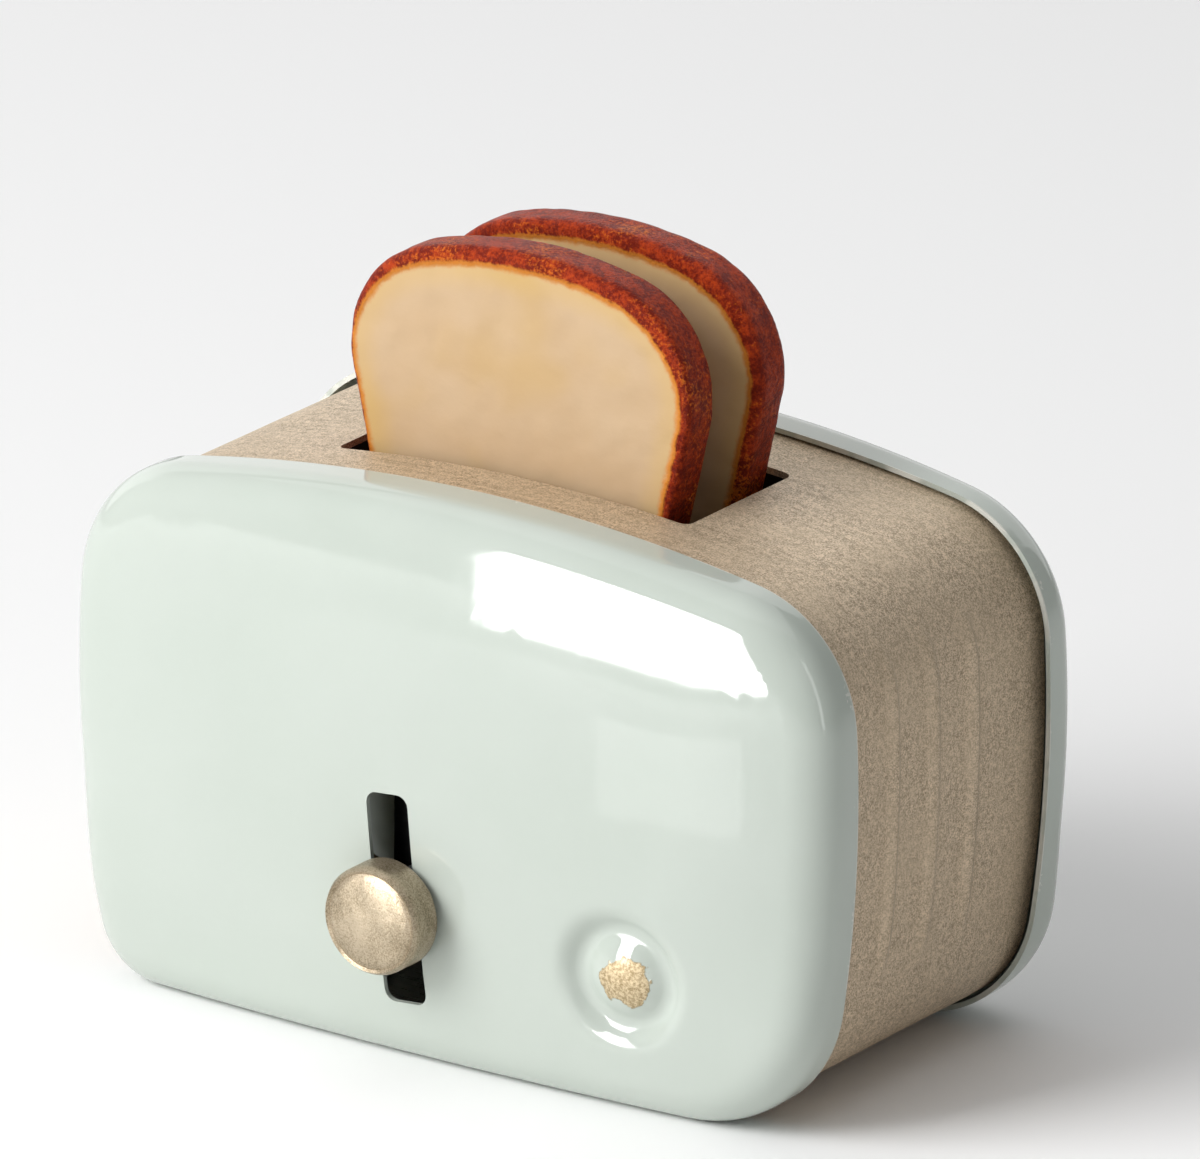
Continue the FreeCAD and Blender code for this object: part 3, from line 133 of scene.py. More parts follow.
def turnOutward(piece, outward):
    # an open sheet: normals made alike, then turned round if most of them look inward
    openMesh(piece)
    bpy.ops.mesh.normals_make_consistent(inside=False)
    closeMesh()
    if sum(outward(face) * face.area for face in piece.data.polygons) < 0:
        openMesh(piece)
        bpy.ops.mesh.flip_normals()
        closeMesh()


def useModifier(piece, kind, **settings):
    pickOnly(piece)
    bpy.ops.object.modifier_add(type=kind)
    added = piece.modifiers[-1]
    for key, setting in settings.items():
        setattr(added, key, setting)
    bpy.ops.object.modifier_apply(modifier=added.name)


# shader maths: a wire is one value in a material

class Wire:
    def __init__(self, tree, socket):
        self.tree = tree
        self.socket = socket

    def node(self, kind, settings, values, out=0):
        made = self.tree.nodes.new(kind)
        for key, setting in settings.items():
            setattr(made, key, setting)
        for key, value in values.items():
            if isinstance(value, Wire):
                self.tree.links.new(value.socket, made.inputs[key])
            else:
                made.inputs[key].default_value = value
        return Wire(self.tree, made.outputs[out])

    def math(self, operation, first, second=0.0):
        return self.node("ShaderNodeMath", {"operation": operation}, {0: first, 1: second})

    def __add__(self, other):
        return self.math("ADD", self, other)

    def __radd__(self, other):
        return self.math("ADD", other, self)

    def __sub__(self, other):
        return self.math("SUBTRACT", self, other)

    def __rsub__(self, other):
        return self.math("SUBTRACT", other, self)

    def __mul__(self, other):
        return self.math("MULTIPLY", self, other)

    def __rmul__(self, other):
        return self.math("MULTIPLY", other, self)

    def unsigned(self):
        return self.math("ABSOLUTE", self)

    def span(self, low, high, start=0.0, end=1.0):
        # from start at low to end at high, softly
        return self.node("ShaderNodeMapRange", {"interpolation_type": "SMOOTHSTEP"},
                         {"Value": self, "From Min": low, "From Max": high,
                          "To Min": start, "To Max": end})

    def mix(self, first, second):
        # colour first where this wire is 0, second where it is 1
        return self.node("ShaderNodeMix", {"data_type": "RGBA", "clamp_factor": True},
                         {0: self, 6: first, 7: second}, 2)


def startMaterial(name):
    made = bpy.data.materials.new(name)
    made.use_nodes = True
    return made


def objectPlace(tree, turn=(0, 0, 0), size=(1, 1, 1), centre=(0, 0, 0)):
    # object coordinates, moved to a centre, turned and scaled
    start = Wire(tree, None)
    place = start.node("ShaderNodeTexCoord", {}, {}, "Object")
    return start.node("ShaderNodeMapping", {"vector_type": "POINT"},
                      {"Vector": place, "Location": [-centre[i] * size[i] for i in range(3)],
                       "Rotation": turn, "Scale": size})


def noise(place, scale, detail=2.0, rough=0.5, warp=0.0):
    return place.node("ShaderNodeTexNoise", {"noise_dimensions": "3D"},
                      {"Vector": place, "Scale": scale, "Detail": detail, "Roughness": rough,
                       "Distortion": warp}, "Fac")


def bumpOf(height, strength, distance, below=None):
    values = {"Height": height, "Strength": strength, "Distance": distance}
    if below is not None:
        values["Normal"] = below
    return height.node("ShaderNodeBump", {}, values)


def finishMaterial(made, fixed, varying):
    # fixed values sit on the shader's own sockets, varying ones are wires
    shader = made.node_tree.nodes["Principled BSDF"]
    for key, value in fixed.items():
        shader.inputs[key].default_value = value
    for key, wire in varying.items():
        made.node_tree.links.new(wire.socket, shader.inputs[key])
    return made


def wear(piece, *materials):
    piece.data.materials.clear()
    for made in materials:
        piece.data.materials.append(made)


# camera, floor and lights

# degrees and mm, nearest and farthest in metres; back and height give the casing's middle,
# right and up shift the aim from there
camera = {"azimuth": 34.393, "elevation": 19.333, "roll": 0.2736, "distance": 1101.0,
          "lens": 572.66, "sensor": 36, "nearest": 0.05, "farthest": 10,
          "right": 1.616, "up": 8.299, "back": 1.35, "height": 17.0}


def placeCamera():
    turn = math.radians(camera["azimuth"])
    rise = math.radians(camera["elevation"])
    toCamera = Vector((math.sin(turn) * math.cos(rise), -math.cos(turn) * math.cos(rise),
                       math.sin(rise)))
    right = Vector((math.cos(turn), math.sin(turn), 0))
    up = toCamera.cross(right)
    middle = Vector((0, camera["back"], camera["height"]))
    aim = right * camera["right"] + up * camera["up"] + middle
    bpy.ops.object.camera_add(location=(aim + toCamera * camera["distance"]) * mm)
    placed = bpy.context.view_layer.objects.active
    placed.name = "photoCamera"
    placed.rotation_mode = "QUATERNION"
    look = (-toCamera).to_track_quat("-Z", "Y")
    placed.rotation_quaternion = look @ Quaternion((0, 0, 1), math.radians(camera["roll"]))
    placed.data.lens = camera["lens"]
    placed.data.sensor_width = camera["sensor"]
    placed.data.clip_start = camera["nearest"]
    placed.data.clip_end = camera["farthest"]
    bpy.context.scene.camera = placed


placeCamera()
bpy.context.scene.view_settings.view_transform = "Standard"  # colours as they are, white stays white

studio = {"floorSize": 6.0, "floorColour": (0.96, 0.96, 0.96, 1), "floorRoughness": 0.9,
          "skyColour": (1.0, 1.0, 1.0, 1), "skyStrength": 0.22}


def makeFloor():
    bpy.ops.mesh.primitive_plane_add(size=studio["floorSize"], location=(0, 0, 0))
    floor = bpy.context.view_layer.objects.active
    floor.name = "floor"
    made = startMaterial("paleFloor")
    finishMaterial(made, {"Base Color": studio["floorColour"],
                          "Roughness": studio["floorRoughness"]}, {})
    wear(floor, made)


def makeSky():
    sky = bpy.data.worlds.new("studioSky")
    bpy.context.scene.world = sky
    sky.use_nodes = True
    back = sky.node_tree.nodes["Background"]
    back.inputs["Color"].default_value = studio["skyColour"]
    back.inputs["Strength"].default_value = studio["skyStrength"]


# places and sizes in mm, power in watts; a sheen lamp only makes highlights, a dull one makes none
lamps = {
    "window": {"place": (-47, -172, 60), "size": (80, 106), "power": 0.05, "aim": (10, -15, 30)},
    "leftPaneSheen": {"place": (-77.2, -161, 60), "size": (16, 106), "power": 0.075,
                      "aim": (-20, -4, 30), "sheen": True},
    "rightPaneSheen": {"place": (-39, -175, 60), "size": (63, 106), "power": 0.36,
                       "aim": (18, -18, 30), "sheen": True},
    "sillSheen": {"place": (-2, -60, 6), "size": (21, 11), "power": 0.0009, "aim": (8, -15, 14),
                  "sheen": True},
    "backSheen": {"place": (-340, 495, 300), "size": (1700, 560), "power": 3.5, "aim": (0, 0, 30),
                  "sheen": True},
    "edgeSheen": {"place": (330, -150, 150), "size": (50, 300), "power": 0.12, "aim": (20, 0, 17),
                  "sheen": True},
    "bigSoftbox": {"place": (-400, -600, 500), "size": (520, 520), "power": 7.0,
                   "aim": (0, 0, 17), "dull": True},
    "overhead": {"place": (-60, 60, 600), "size": (700, 700), "power": 1.3, "aim": (0, 0, 17)},
}


def addLamps():
    for name, lamp in lamps.items():
        place = Vector(lamp["place"]) * mm
        bpy.ops.object.light_add(type="AREA", location=place)
        made = bpy.context.view_layer.objects.active
        made.name = name
        made.data.shape = "RECTANGLE"
        made.data.size = lamp["size"][0] * mm
        made.data.size_y = lamp["size"][1] * mm
        made.data.energy = lamp["power"]
        made.rotation_mode = "QUATERNION"
        made.rotation_quaternion = (Vector(lamp["aim"]) * mm - place).to_track_quat("-Z", "Y")
        made.visible_camera = False
        made.visible_diffuse = not lamp.get("sheen", False)
        made.visible_glossy = not lamp.get("dull", False)


makeFloor()
makeSky()
addLamps()
print("camera, floor and lamps stand")


# finishes

def axisOf(place, axis):
    # one coordinate of a place, in mm
    return place.node("ShaderNodeSeparateXYZ", {}, {"Vector": place}, axis) * toMm


def lengthOf(place):
    reach = place.node("ShaderNodeVectorMath", {"operation": "LENGTH"}, {0: place}, "Value")
    return reach * toMm


# in a look, a scale is the fineness of a pattern and a pair is where a change starts and ends,
# but goldMiddle is a place: across and up, in mm
enamelLook = {
    "colour": (0.503, 0.55, 0.50, 1), "thin": (0.49, 0.54, 0.487, 1), "roughness": 0.45,
    "coatRoughness": 0.06, "specular": 0.0, "broadScale": 90.0, "fineScale": 1300.0,
    "bare": (0.66, 0.67, 0.62, 1), "bareWidth": 0.09, "bareMetal": 0.4, "bareRough": 0.2,
    "bareScale": 420.0, "chipScale": 2300.0, "chipPatchScale": 240.0, "chipReach": 0.6,
    "goldLight": (0.62, 0.51, 0.34, 1), "goldDark": (0.32, 0.24, 0.13, 1),
    "goldRadius": 1.55, "goldMiddle": (13.75, 8.5), "goldMetal": 0.6, "goldRough": 0.2,
    "goldWear": 0.75, "goldScale": 5200.0, "edgeScale": 620.0, "edgeWander": 1.7, "edgeFray": 0.5}


def enamel(name, rimY, side):
    # mint enamel, bare and chipped at the rim; the front one has the dial's hand-painted nub
    look = enamelLook
    made = startMaterial(name)
    place = objectPlace(made.node_tree)
    broad = noise(place, look["broadScale"], 2.0)
    fine = noise(place, look["fineScale"], 3.0, 0.6)
    colour = broad.span(0.3, 0.7).mix(look["thin"], look["colour"])
    out = (axisOf(place, "Y") - rimY) * side
    chips = noise(place, look["chipScale"], 3.0, 0.7).span(0.52, 0.75)
    chips = chips * noise(place, look["chipPatchScale"], 1.0).span(0.5, 0.62)
    bare = (out - chips * look["chipReach"]).span(look["bareWidth"] * 0.5, look["bareWidth"] * 1.3)
    bare = (1.0 - bare) * noise(place, look["bareScale"], 2.0).span(0.42, 0.55)
    colour = bare.mix(colour, look["bare"])
    metal = bare * look["bareMetal"]
    rough = bare * look["bareRough"] + look["roughness"]
    coat = 1.0 - bare
    relief = bumpOf(broad, 0.1, 0.003)
    if side < 0:
        middle = (look["goldMiddle"][0] * mm, 0, look["goldMiddle"][1] * mm)
        reach = lengthOf(objectPlace(made.node_tree, size=(1, 0, 1), centre=middle))
        wander = (noise(place, look["edgeScale"], 3.0, 0.6) - 0.5) * look["edgeWander"]
        ragged = reach + wander + (fine - 0.5) * look["edgeFray"]
        painted = 1.0 - ragged.span(look["goldRadius"] - 0.08, look["goldRadius"] + 0.04)
        flecks = noise(place, look["goldScale"], 3.0, 0.75)
        goldColour = flecks.span(0.36, 0.64).mix(look["goldDark"], look["goldLight"])
        colour = painted.mix(colour, goldColour)
        metal = metal + painted * look["goldMetal"]
        rough = rough + painted * look["goldRough"]
        coat = coat - painted * look["goldWear"]
        relief = bumpOf(painted * (flecks * 0.3 + 0.7), 0.6, 0.00008, relief)
    skin = bumpOf(fine, 0.03, 0.0002, relief)
    fixed = {"Coat Roughness": look["coatRoughness"], "Specular IOR Level": look["specular"]}
    return finishMaterial(made, fixed, {
        "Base Color": colour, "Metallic": metal, "Roughness": rough, "Coat Weight": coat,
        "Normal": skin})


# the beads' flanks get painted shade on their rear side and a painted highlight on their front side
paintLook = {
    "light": (0.78, 0.625, 0.45, 1), "dark": (0.31, 0.235, 0.145, 1),
    "cloud": (0.60, 0.475, 0.325, 1), "metal": 0.3, "grainScale": 9500.0, "coarseScale": 2600.0,
    "cloudScale": 230.0, "brushed": (0.05, 1, 1), "top": (27.0, 31.5), "sides": (17, 20),
    "beads": (-3.35, 0.8, 4.85), "beadFoot": (7.5, 11.0), "beadTop": (25.5, 29.0), "flank": 0.42,
    "flankShadeWidth": (0.05, 0.34), "dull": 0.42, "flankLightWidth": (0.1, 0.5), "flankLight": 0.22}


def champagnePaint():
    # speckled metallic paint, brushed along the top, with painted shade and a painted highlight on
    # the beads' flanks
    look = paintLook
    made = startMaterial("champagnePaint")
    tree = made.node_tree
    place = objectPlace(tree)
    flecks = noise(place, look["grainScale"], 3.0, 0.7)
    coarse = noise(place, look["coarseScale"], 3.0, 0.65)
    cloud = noise(place, look["cloudScale"], 3.0)
    brush = noise(objectPlace(tree, size=look["brushed"]), look["coarseScale"], 3.0, 0.6)
    height = axisOf(place, "Z")
    onTop = height.span(*look["top"])
    tone = flecks * 0.7 + coarse * 0.3 + (brush - 0.5) * onTop * 0.16
    colour = tone.span(0.38, 0.62).mix(look["dark"], look["light"])
    colour = (cloud.span(0.35, 0.7) * 0.35).mix(colour, look["cloud"])
    onBeads = height.span(*look["beadFoot"]) * (1.0 - height.span(*look["beadTop"]))
    onBeads = onBeads * axisOf(place, "X").unsigned().span(*look["sides"])
    along = axisOf(place, "Y") + (cloud - 0.5) * 0.35
    # each bead: painted shade on its rear flank, a painted highlight on its front flank
    for middle in look["beads"]:
        dull = (along - (middle + look["flank"])).unsigned()
        dull = (1.0 - dull.span(*look["flankShadeWidth"])) * onBeads
        flankLight = (along - (middle - look["flank"])).unsigned()
        flankLight = (1.0 - flankLight.span(*look["flankLightWidth"])) * onBeads
        colour = (dull * look["dull"]).mix(colour, look["dark"])
        colour = (flankLight * look["flankLight"]).mix(colour, look["light"])
    rough = flecks.span(0.3, 0.7, 0.58, 0.4)
    relief = bumpOf(brush * onTop, 0.2, 0.0002, bumpOf(cloud, 0.15, 0.001))
    return finishMaterial(made, {"Metallic": look["metal"]}, {
        "Base Color": colour, "Roughness": rough, "Normal": bumpOf(flecks, 0.4, 0.00015, relief)})


steelLook = {"grainScale": 9000.0, "drawn": (0.06, 1, 1), "cloudScale": 700.0}


def sheetSteel(name, colour, darker, roughness=0.32):
    made = startMaterial(name)
    tree = made.node_tree
    grain = noise(objectPlace(tree, size=steelLook["drawn"]), steelLook["grainScale"], 2.0)
    cloud = noise(objectPlace(tree), steelLook["cloudScale"], 2.0)
    tone = (grain * 0.5 + cloud * 0.5).span(0.3, 0.7).mix(darker, colour)
    rough = grain.span(0.3, 0.7, roughness - 0.07, roughness + 0.1)
    return finishMaterial(made, {"Metallic": 1.0}, {
        "Base Color": tone, "Roughness": rough, "Normal": bumpOf(grain, 0.03, 0.0001)})


tinplate = sheetSteel("tinplate", (0.62, 0.62, 0.60, 1), (0.48, 0.48, 0.47, 1))
drawnSteel = sheetSteel("drawnSteel", (0.66, 0.66, 0.66, 1), (0.52, 0.52, 0.52, 1), 0.24)
springSteel = sheetSteel("springSteel", (0.38, 0.36, 0.34, 1), (0.27, 0.26, 0.25, 1), 0.3)
# near-black tin for the well and the lever arm: painted shade, so that the inside of the lever slot
# stays dark
slotShadeTin = sheetSteel("slotShadeTin", (0.035, 0.035, 0.035, 1), (0.02, 0.02, 0.02, 1), 0.55)
zinc = sheetSteel("zincPlate", (0.60, 0.61, 0.63, 1), (0.46, 0.48, 0.51, 1), 0.38)
brass = sheetSteel("turnedBrass", (0.72, 0.54, 0.26, 1), (0.55, 0.39, 0.17, 1), 0.28)
paint = champagnePaint()
frontEnamel = enamel("mintEnamelFront", -8.55, -1)
rearEnamel = enamel("mintEnamelRear", 11.25, 1)


breadLook = {
    "crustDark": (0.17, 0.014, 0.006, 1), "crust": (0.46, 0.05, 0.01, 1),
    "spark": (0.66, 0.16, 0.015, 1), "rim": (0.60, 0.21, 0.03, 1), "glow": (0.62, 0.40, 0.12, 1),
    "crumb": (0.545, 0.38, 0.225, 1), "crumbPale": (0.575, 0.415, 0.26, 1),
    "crumbGold": (0.54, 0.355, 0.145, 1), "specular": 0.07, "blotchScale": 1300.0,
    "speckScale": 4600.0, "patchScale": 260.0, "goldScale": 120.0, "skinScale": 1500.0,
    "upperCrust": (39.0, 46.0), "upperExtra": 0.6, "rightCrust": (4.0, 12.0), "rightExtra": 0.3,
    "crustEnd": (0.2, 0.42), "rimEnd": (0.42, 0.85), "glowEnd": (0.8, 2.6)}


def breadFinish():
    # red-brown crust, an orange line, then the cream crumb; "inside" is mm from the outline
    look = breadLook
    made = startMaterial("paintedBread")
    tree = made.node_tree
    place = objectPlace(tree)
    inside = Wire(tree, None).node(
        "ShaderNodeAttribute", {"attribute_type": "GEOMETRY", "attribute_name": "inside"}, {}, "Fac")
    blotch = noise(place, look["blotchScale"], 4.0, 0.65)
    speck = noise(place, look["speckScale"], 4.0, 0.75)
    patch = noise(place, look["patchScale"], 3.0)
    crust = (blotch * 0.45 + speck * 0.55).span(0.42, 0.6).mix(look["crustDark"], look["crust"])
    crust = (speck * 0.6 + patch * 0.4).span(0.54, 0.66).mix(crust, look["spark"])
    crumb = patch.span(0.15, 0.85).mix(look["crumb"], look["crumbPale"])
    golden = noise(place, look["goldScale"], 2.0).span(0.5, 0.72) * 0.7
    crumb = golden.mix(crumb, look["crumbGold"])
    broader = (axisOf(place, "Z").span(*look["upperCrust"]) * look["upperExtra"]
               + axisOf(place, "X").span(*look["rightCrust"]) * look["rightExtra"])
    ragged = inside - broader + (blotch - 0.5) * 0.5 + (speck - 0.5) * 0.2
    colour = ragged.span(*look["crustEnd"]).mix(crust, look["rim"])
    glow = 1.0 - ragged.span(*look["glowEnd"])
    crumb = (glow * 0.35).mix(crumb, look["glow"])
    colour = ragged.span(*look["rimEnd"]).mix(colour, crumb)
    rough = ragged.span(0.2, 0.9, 0.34, 0.5)
    height = (1.0 - ragged.span(0.3, 0.7)) * speck
    soft = bumpOf(noise(place, look["skinScale"], 3.0), 0.08, 0.0003)
    return finishMaterial(made, {"Specular IOR Level": look["specular"]}, {
        "Base Color": colour, "Roughness": rough, "Normal": bumpOf(height, 0.6, 0.0003, soft)})


bread = breadFinish()


goldLook = {
    "light": (0.47, 0.385, 0.275, 1), "dark": (0.20, 0.155, 0.09, 1), "metal": 0.6,
    "fleckScale": 9500.0, "cloudScale": 380.0, "strokeScale": 1500.0, "strokeSize": (1, 1, 0.3),
    "strokeTurn": (0, 0.9, 0)}


def goldPaint():
    # flecked gold paint with faint brush strokes
    look = goldLook
    made = startMaterial("goldPaint")
    tree = made.node_tree
    place = objectPlace(tree)
    flecks = noise(place, look["fleckScale"], 3.0, 0.7)
    stroked = objectPlace(tree, size=look["strokeSize"], turn=look["strokeTurn"])
    strokes = noise(stroked, look["strokeScale"], 3.0, 0.6)
    cloud = noise(place, look["cloudScale"], 2.0)
    tone = flecks * 0.6 + strokes * 0.2 + cloud * 0.2
    colour = tone.span(0.36, 0.6).mix(look["dark"], look["light"])
    rough = flecks.span(0.3, 0.7, 0.46, 0.32)
    relief = bumpOf(strokes, 0.15, 0.00015, bumpOf(cloud, 0.2, 0.0008))
    return finishMaterial(made, {"Metallic": look["metal"]}, {
        "Base Color": colour, "Roughness": rough, "Normal": bumpOf(flecks, 0.2, 0.0001, relief)})


gold = goldPaint()
print("finishes mixed")


# outlines

casing = {"height": 34.0, "half": 26.5, "arch": 110.0, "shoulder": 8.2, "side": 85.0,
          "sideHeight": 20.0, "rightFoot": 9.0, "leftFoot": 4.2, "middle": 1.35}
outline = {"weld": 0.01, "fewestSteps": 3, "floorEdge": 5.0, "floorCuts": 60, "slack": 0.02}


def meet(first, firstRadius, second, secondRadius):
    # upper right point at given distances from two centres
    gap = second - first
    apart = gap.length
    along = (firstRadius ** 2 - secondRadius ** 2 + apart ** 2) / (2 * apart)
    aside = math.sqrt(firstRadius ** 2 - along ** 2)
    one = first + gap * (along / apart) + Vector((-gap.y, gap.x)) * (aside / apart)
    other = first + gap * (along / apart) - Vector((-gap.y, gap.x)) * (aside / apart)
    return one if one.x + one.y > other.x + other.y else other


def archedArcs(height, half, arch, shoulder, side, sideHeight, foot):
    # right half of an arched outline, from the floor up: centre, radius, first and last angle
    archMiddle = Vector((0, height - arch))
    sideMiddle = Vector((half - side, sideHeight))
    shoulderMiddle = meet(archMiddle, arch - shoulder, sideMiddle, side - shoulder)
    footAcross = math.sqrt((side - foot) ** 2 - (sideHeight - foot) ** 2)
    footMiddle = Vector((sideMiddle.x + footAcross, foot))
    low = footMiddle - sideMiddle
    lowAngle = math.atan2(low.y, low.x)
    high = shoulderMiddle - sideMiddle
    highAngle = math.atan2(high.y, high.x)
    top = shoulderMiddle - archMiddle
    topAngle = math.atan2(top.y, top.x)
    return [(footMiddle, foot, -math.pi / 2, lowAngle), (sideMiddle, side, lowAngle, highAngle),
            (shoulderMiddle, shoulder, highAngle, topAngle),
            (archMiddle, arch, topAngle, math.pi / 2)]


def casingArcs(narrow=0.0, rightFoot=casing["rightFoot"]):
    # right and left half of the casing's outline
    halves = []
    for foot in (rightFoot, casing["leftFoot"]):
        halves.append(archedArcs(casing["height"], casing["half"] - narrow, casing["arch"],
                                 casing["shoulder"], casing["side"], casing["sideHeight"], foot))
    return halves


def startPoint(x, y, z):
    # a new piece that is one point so far, left open in edit mode
    pickNothing()
    bpy.ops.mesh.primitive_plane_add(size=mm, location=(x * mm, y * mm, z * mm))
    piece = bpy.context.view_layer.objects.active
    applyPlace()
    bpy.ops.object.mode_set(mode="EDIT")
    bpy.ops.mesh.select_mode(type="VERT")
    bpy.ops.mesh.select_all(action="SELECT")
    bpy.ops.mesh.merge(type="CENTER")
    return piece


def spinArcs(y, arcs, flip, across, lift, step):
    # carries the last point along arcs, counterclockwise in the front view
    for centre, radius, start, end in (reversed(arcs) if flip else arcs):
        turned = Vector((-centre.x if flip else centre.x, centre.y)) + Vector((across, lift))
        steps = max(outline["fewestSteps"], round((end - start) * radius / step))
        bpy.ops.mesh.spin(steps=steps, angle=end - start, axis=(0, 1, 0),
                          center=(turned.x * mm, y * mm, turned.y * mm))


def drawArched(y, right, left, across, lift, step):
    # a filled arched outline: right side up, arch over, left side down, then the floor edge,
    # which gets points of its own so that the face over it can be crowned
    piece = startPoint(right[0][0].x + across, y, lift)
    spinArcs(y, right, False, across, lift, step)
    spinArcs(y, left, True, across, lift, step)
    bpy.ops.mesh.select_all(action="SELECT")
    bpy.ops.mesh.remove_doubles(threshold=outline["weld"] * mm)
    bpy.ops.mesh.edge_face_add()
    selectEdges(piece, lambda a, b: abs(a.x - b.x) > outline["floorEdge"] * mm)
    bpy.ops.mesh.subdivide(number_cuts=outline["floorCuts"])
    bpy.ops.mesh.select_all(action="SELECT")
    return piece


def insideOf(x, z, arcs):
    # distance from a point to the outline, in mm
    reach = z
    for centre, radius, start, end in arcs:
        spot = Vector((abs(x), z)) - centre
        turn = math.atan2(spot.y, spot.x)
        if start - outline["slack"] <= turn <= end + outline["slack"]:
            reach = min(reach, radius - spot.length)
    return reach


# bread slices

slices = {"height": 23.1, "flare": 15.7, "crown": 27.0, "shoulder": 6.8, "side": 200.0,
          "flareHeight": 55.6, "heel": 1.6, "thickness": 2.9, "pitch": 6.4, "floor": 23.62,
          "frontAcross": -0.35, "rearAcross": 0.25, "frontFuller": 0.7, "rearSeed": 9.0,
          "edge": 0.55, "edgeSteps": 4, "step": 0.5, "cell": 0.2, "softening": 0.5, "softRounds": 2,
          "smooth": 60, "dents": 0.06, "dentSize": 1.4}
dentBias = 0.2  # above 0, more of a skin is dented than left alone


def dentSkin(piece, size, depth, seed=0.0):
    # small soft dents, never proud of the piece's own size
    outward = [Vector(point.normal) for point in piece.data.vertices]
    for point, away in zip(piece.data.vertices, outward):
        lump = lumps.noise(Vector(point.co) / (size * mm) + Vector((seed, 0, 0)))
        point.co -= away * max(0.0, lump + dentBias) * depth * mm


def makeSlice(name, node, x, y, seed, fuller=0.0):
    # a soft slab; every point carries its distance to the outline for the paint
    right, left = (archedArcs(slices["height"], slices["flare"] + more, slices["crown"],
                              slices["shoulder"], slices["side"], slices["flareHeight"],
                              slices["heel"]) for more in (0, fuller))
    front = y - slices["thickness"] / 2
    piece = drawArched(front, right, left, x, slices["floor"], slices["step"])
    extrude(0, slices["thickness"])
    closeMesh()
    selectEdges(piece, lambda a, b: near(a.y / mm, b.y / mm))
    bpy.ops.mesh.bevel(offset=slices["edge"] * mm, segments=slices["edgeSteps"], affect="EDGES",
                       clamp_overlap=False)
    bpy.ops.mesh.select_all(action="SELECT")
    bpy.ops.mesh.normals_make_consistent(inside=False)
    closeMesh()
    useModifier(piece, "REMESH", mode="VOXEL", voxel_size=slices["cell"] * mm, adaptivity=0.0)
    useModifier(piece, "SMOOTH", factor=slices["softening"], iterations=slices["softRounds"])
    settle(piece, name, slices["smooth"])
    marks = piece.data.attributes.new("inside", "FLOAT", "POINT")
    for point in piece.data.vertices:
        across = point.co.x / mm - x
        up = point.co.z / mm - slices["floor"]
        marks.data[point.index].value = insideOf(across, up, right if across > 0 else left)
    dentSkin(piece, slices["dentSize"], slices["dents"], seed)
    wear(piece, bread)
    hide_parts(node)
    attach(piece, "toast_front" if node.endswith("front") else "toast_rear")
    return piece


frontY = casing["middle"] - slices["pitch"] / 2
rearY = casing["middle"] + slices["pitch"] / 2
frontSlice = makeSlice("breadSliceFront", "toast_slice_front", slices["frontAcross"], frontY, 0.0,
                       slices["frontFuller"])
makeSlice("breadSliceRear", "toast_slice_rear", slices["rearAcross"], rearY, slices["rearSeed"])
print("bread cut:", len(frontSlice.data.polygons), "faces a slice")


# covers: pressed pans with a crowned face, a lever slot and a dial

cover = {"rim": 9.9, "depth": 5.3, "sheet": 0.3, "edge": 2.2, "edgeAcross": 2.6, "edgeSoft": 0.9,
         "rings": 14, "skirtRows": 2, "step": 0.5, "cell": 1.5, "columns": (-15, 15),
         "rows": (3, 20), "smooth": 45, "weld": 0.001, "still": 0.01, "skirtLeft": 0.12,
         "acrossCrown": 260.0, "upCrown": 150.0, "crownHeight": 18.0,
         "pillow": 0.85, "pillowReach": 10.0, "pillowLow": 5.0, "pillowRise": 9.0}
slot = {"across": -1.85, "bottom": 3.9, "width": 2.9, "length": 12.8, "corner": 0.7,
        "cornerSteps": 5, "lean": 4.5, "pivot": 9.7}
dial = {"across": 13.4, "height": 8.5, "lip": 4.65, "groove": 2.85, "depth": 0.72, "round": 0.95,
        "nub": 0.15, "rim": 5.2, "ring": 0.2, "points": 80, "slack": 0.01}


def dialHeight(reach):
    # height of the dial's pressing over the face: nub, groove and lip are arcs that meet smoothly
    deep, wide = dial["depth"], dial["lip"] - dial["groove"]
    high = deep + dial["nub"]
    lipRound = (wide ** 2 + deep ** 2) / (2 * deep) - dial["round"]
    nubRound = (dial["groove"] ** 2 + high ** 2) / (2 * high) - dial["round"]
    groove = Vector((dial["groove"], dial["round"] - deep))
    nub = Vector((0, dial["nub"] - nubRound))
    lip = Vector((dial["lip"], -lipRound))
    nubEnd = nub + (groove - nub).normalized() * nubRound
    lipEnd = lip + (groove - lip).normalized() * lipRound
    if reach > dial["lip"]:
        return 0.0
    if reach < nubEnd.x:
        return nub.y + math.sqrt(nubRound ** 2 - reach ** 2)
    if reach < lipEnd.x:
        return groove.y - math.sqrt(dial["round"] ** 2 - (reach - dial["groove"]) ** 2)
    return lip.y + math.sqrt(lipRound ** 2 - (reach - dial["lip"]) ** 2)


def softStep(value, low, rise):
    share = min(1.0, max(0.0, (value - low) / rise))
    return share * share * (3 - 2 * share)


def coverDrop(x, z, inside):
    # how far the face falls back from its middle: the crown, and a pillow toward the outline
    # that fades out near the floor
    drop = x ** 2 / (2 * cover["acrossCrown"])
    drop += (z - cover["crownHeight"]) ** 2 / (2 * cover["upCrown"])
    size, reach, edge = cover["pillow"], cover["pillowReach"], cover["edge"]
    if inside < edge:
        slope = 2 * size / reach * (1 - edge / reach)
        soft = size * (1 - edge / reach) ** 2
        soft += slope * edge / 2 * (1 - (max(inside, 0.0) / edge) ** 2)
    else:
        soft = size * max(0.0, 1 - inside / reach) ** 2
    drop += soft * softStep(z, cover["pillowLow"], cover["pillowRise"])
    return min(drop, cover["depth"] - cover["edge"] - cover["skirtLeft"])


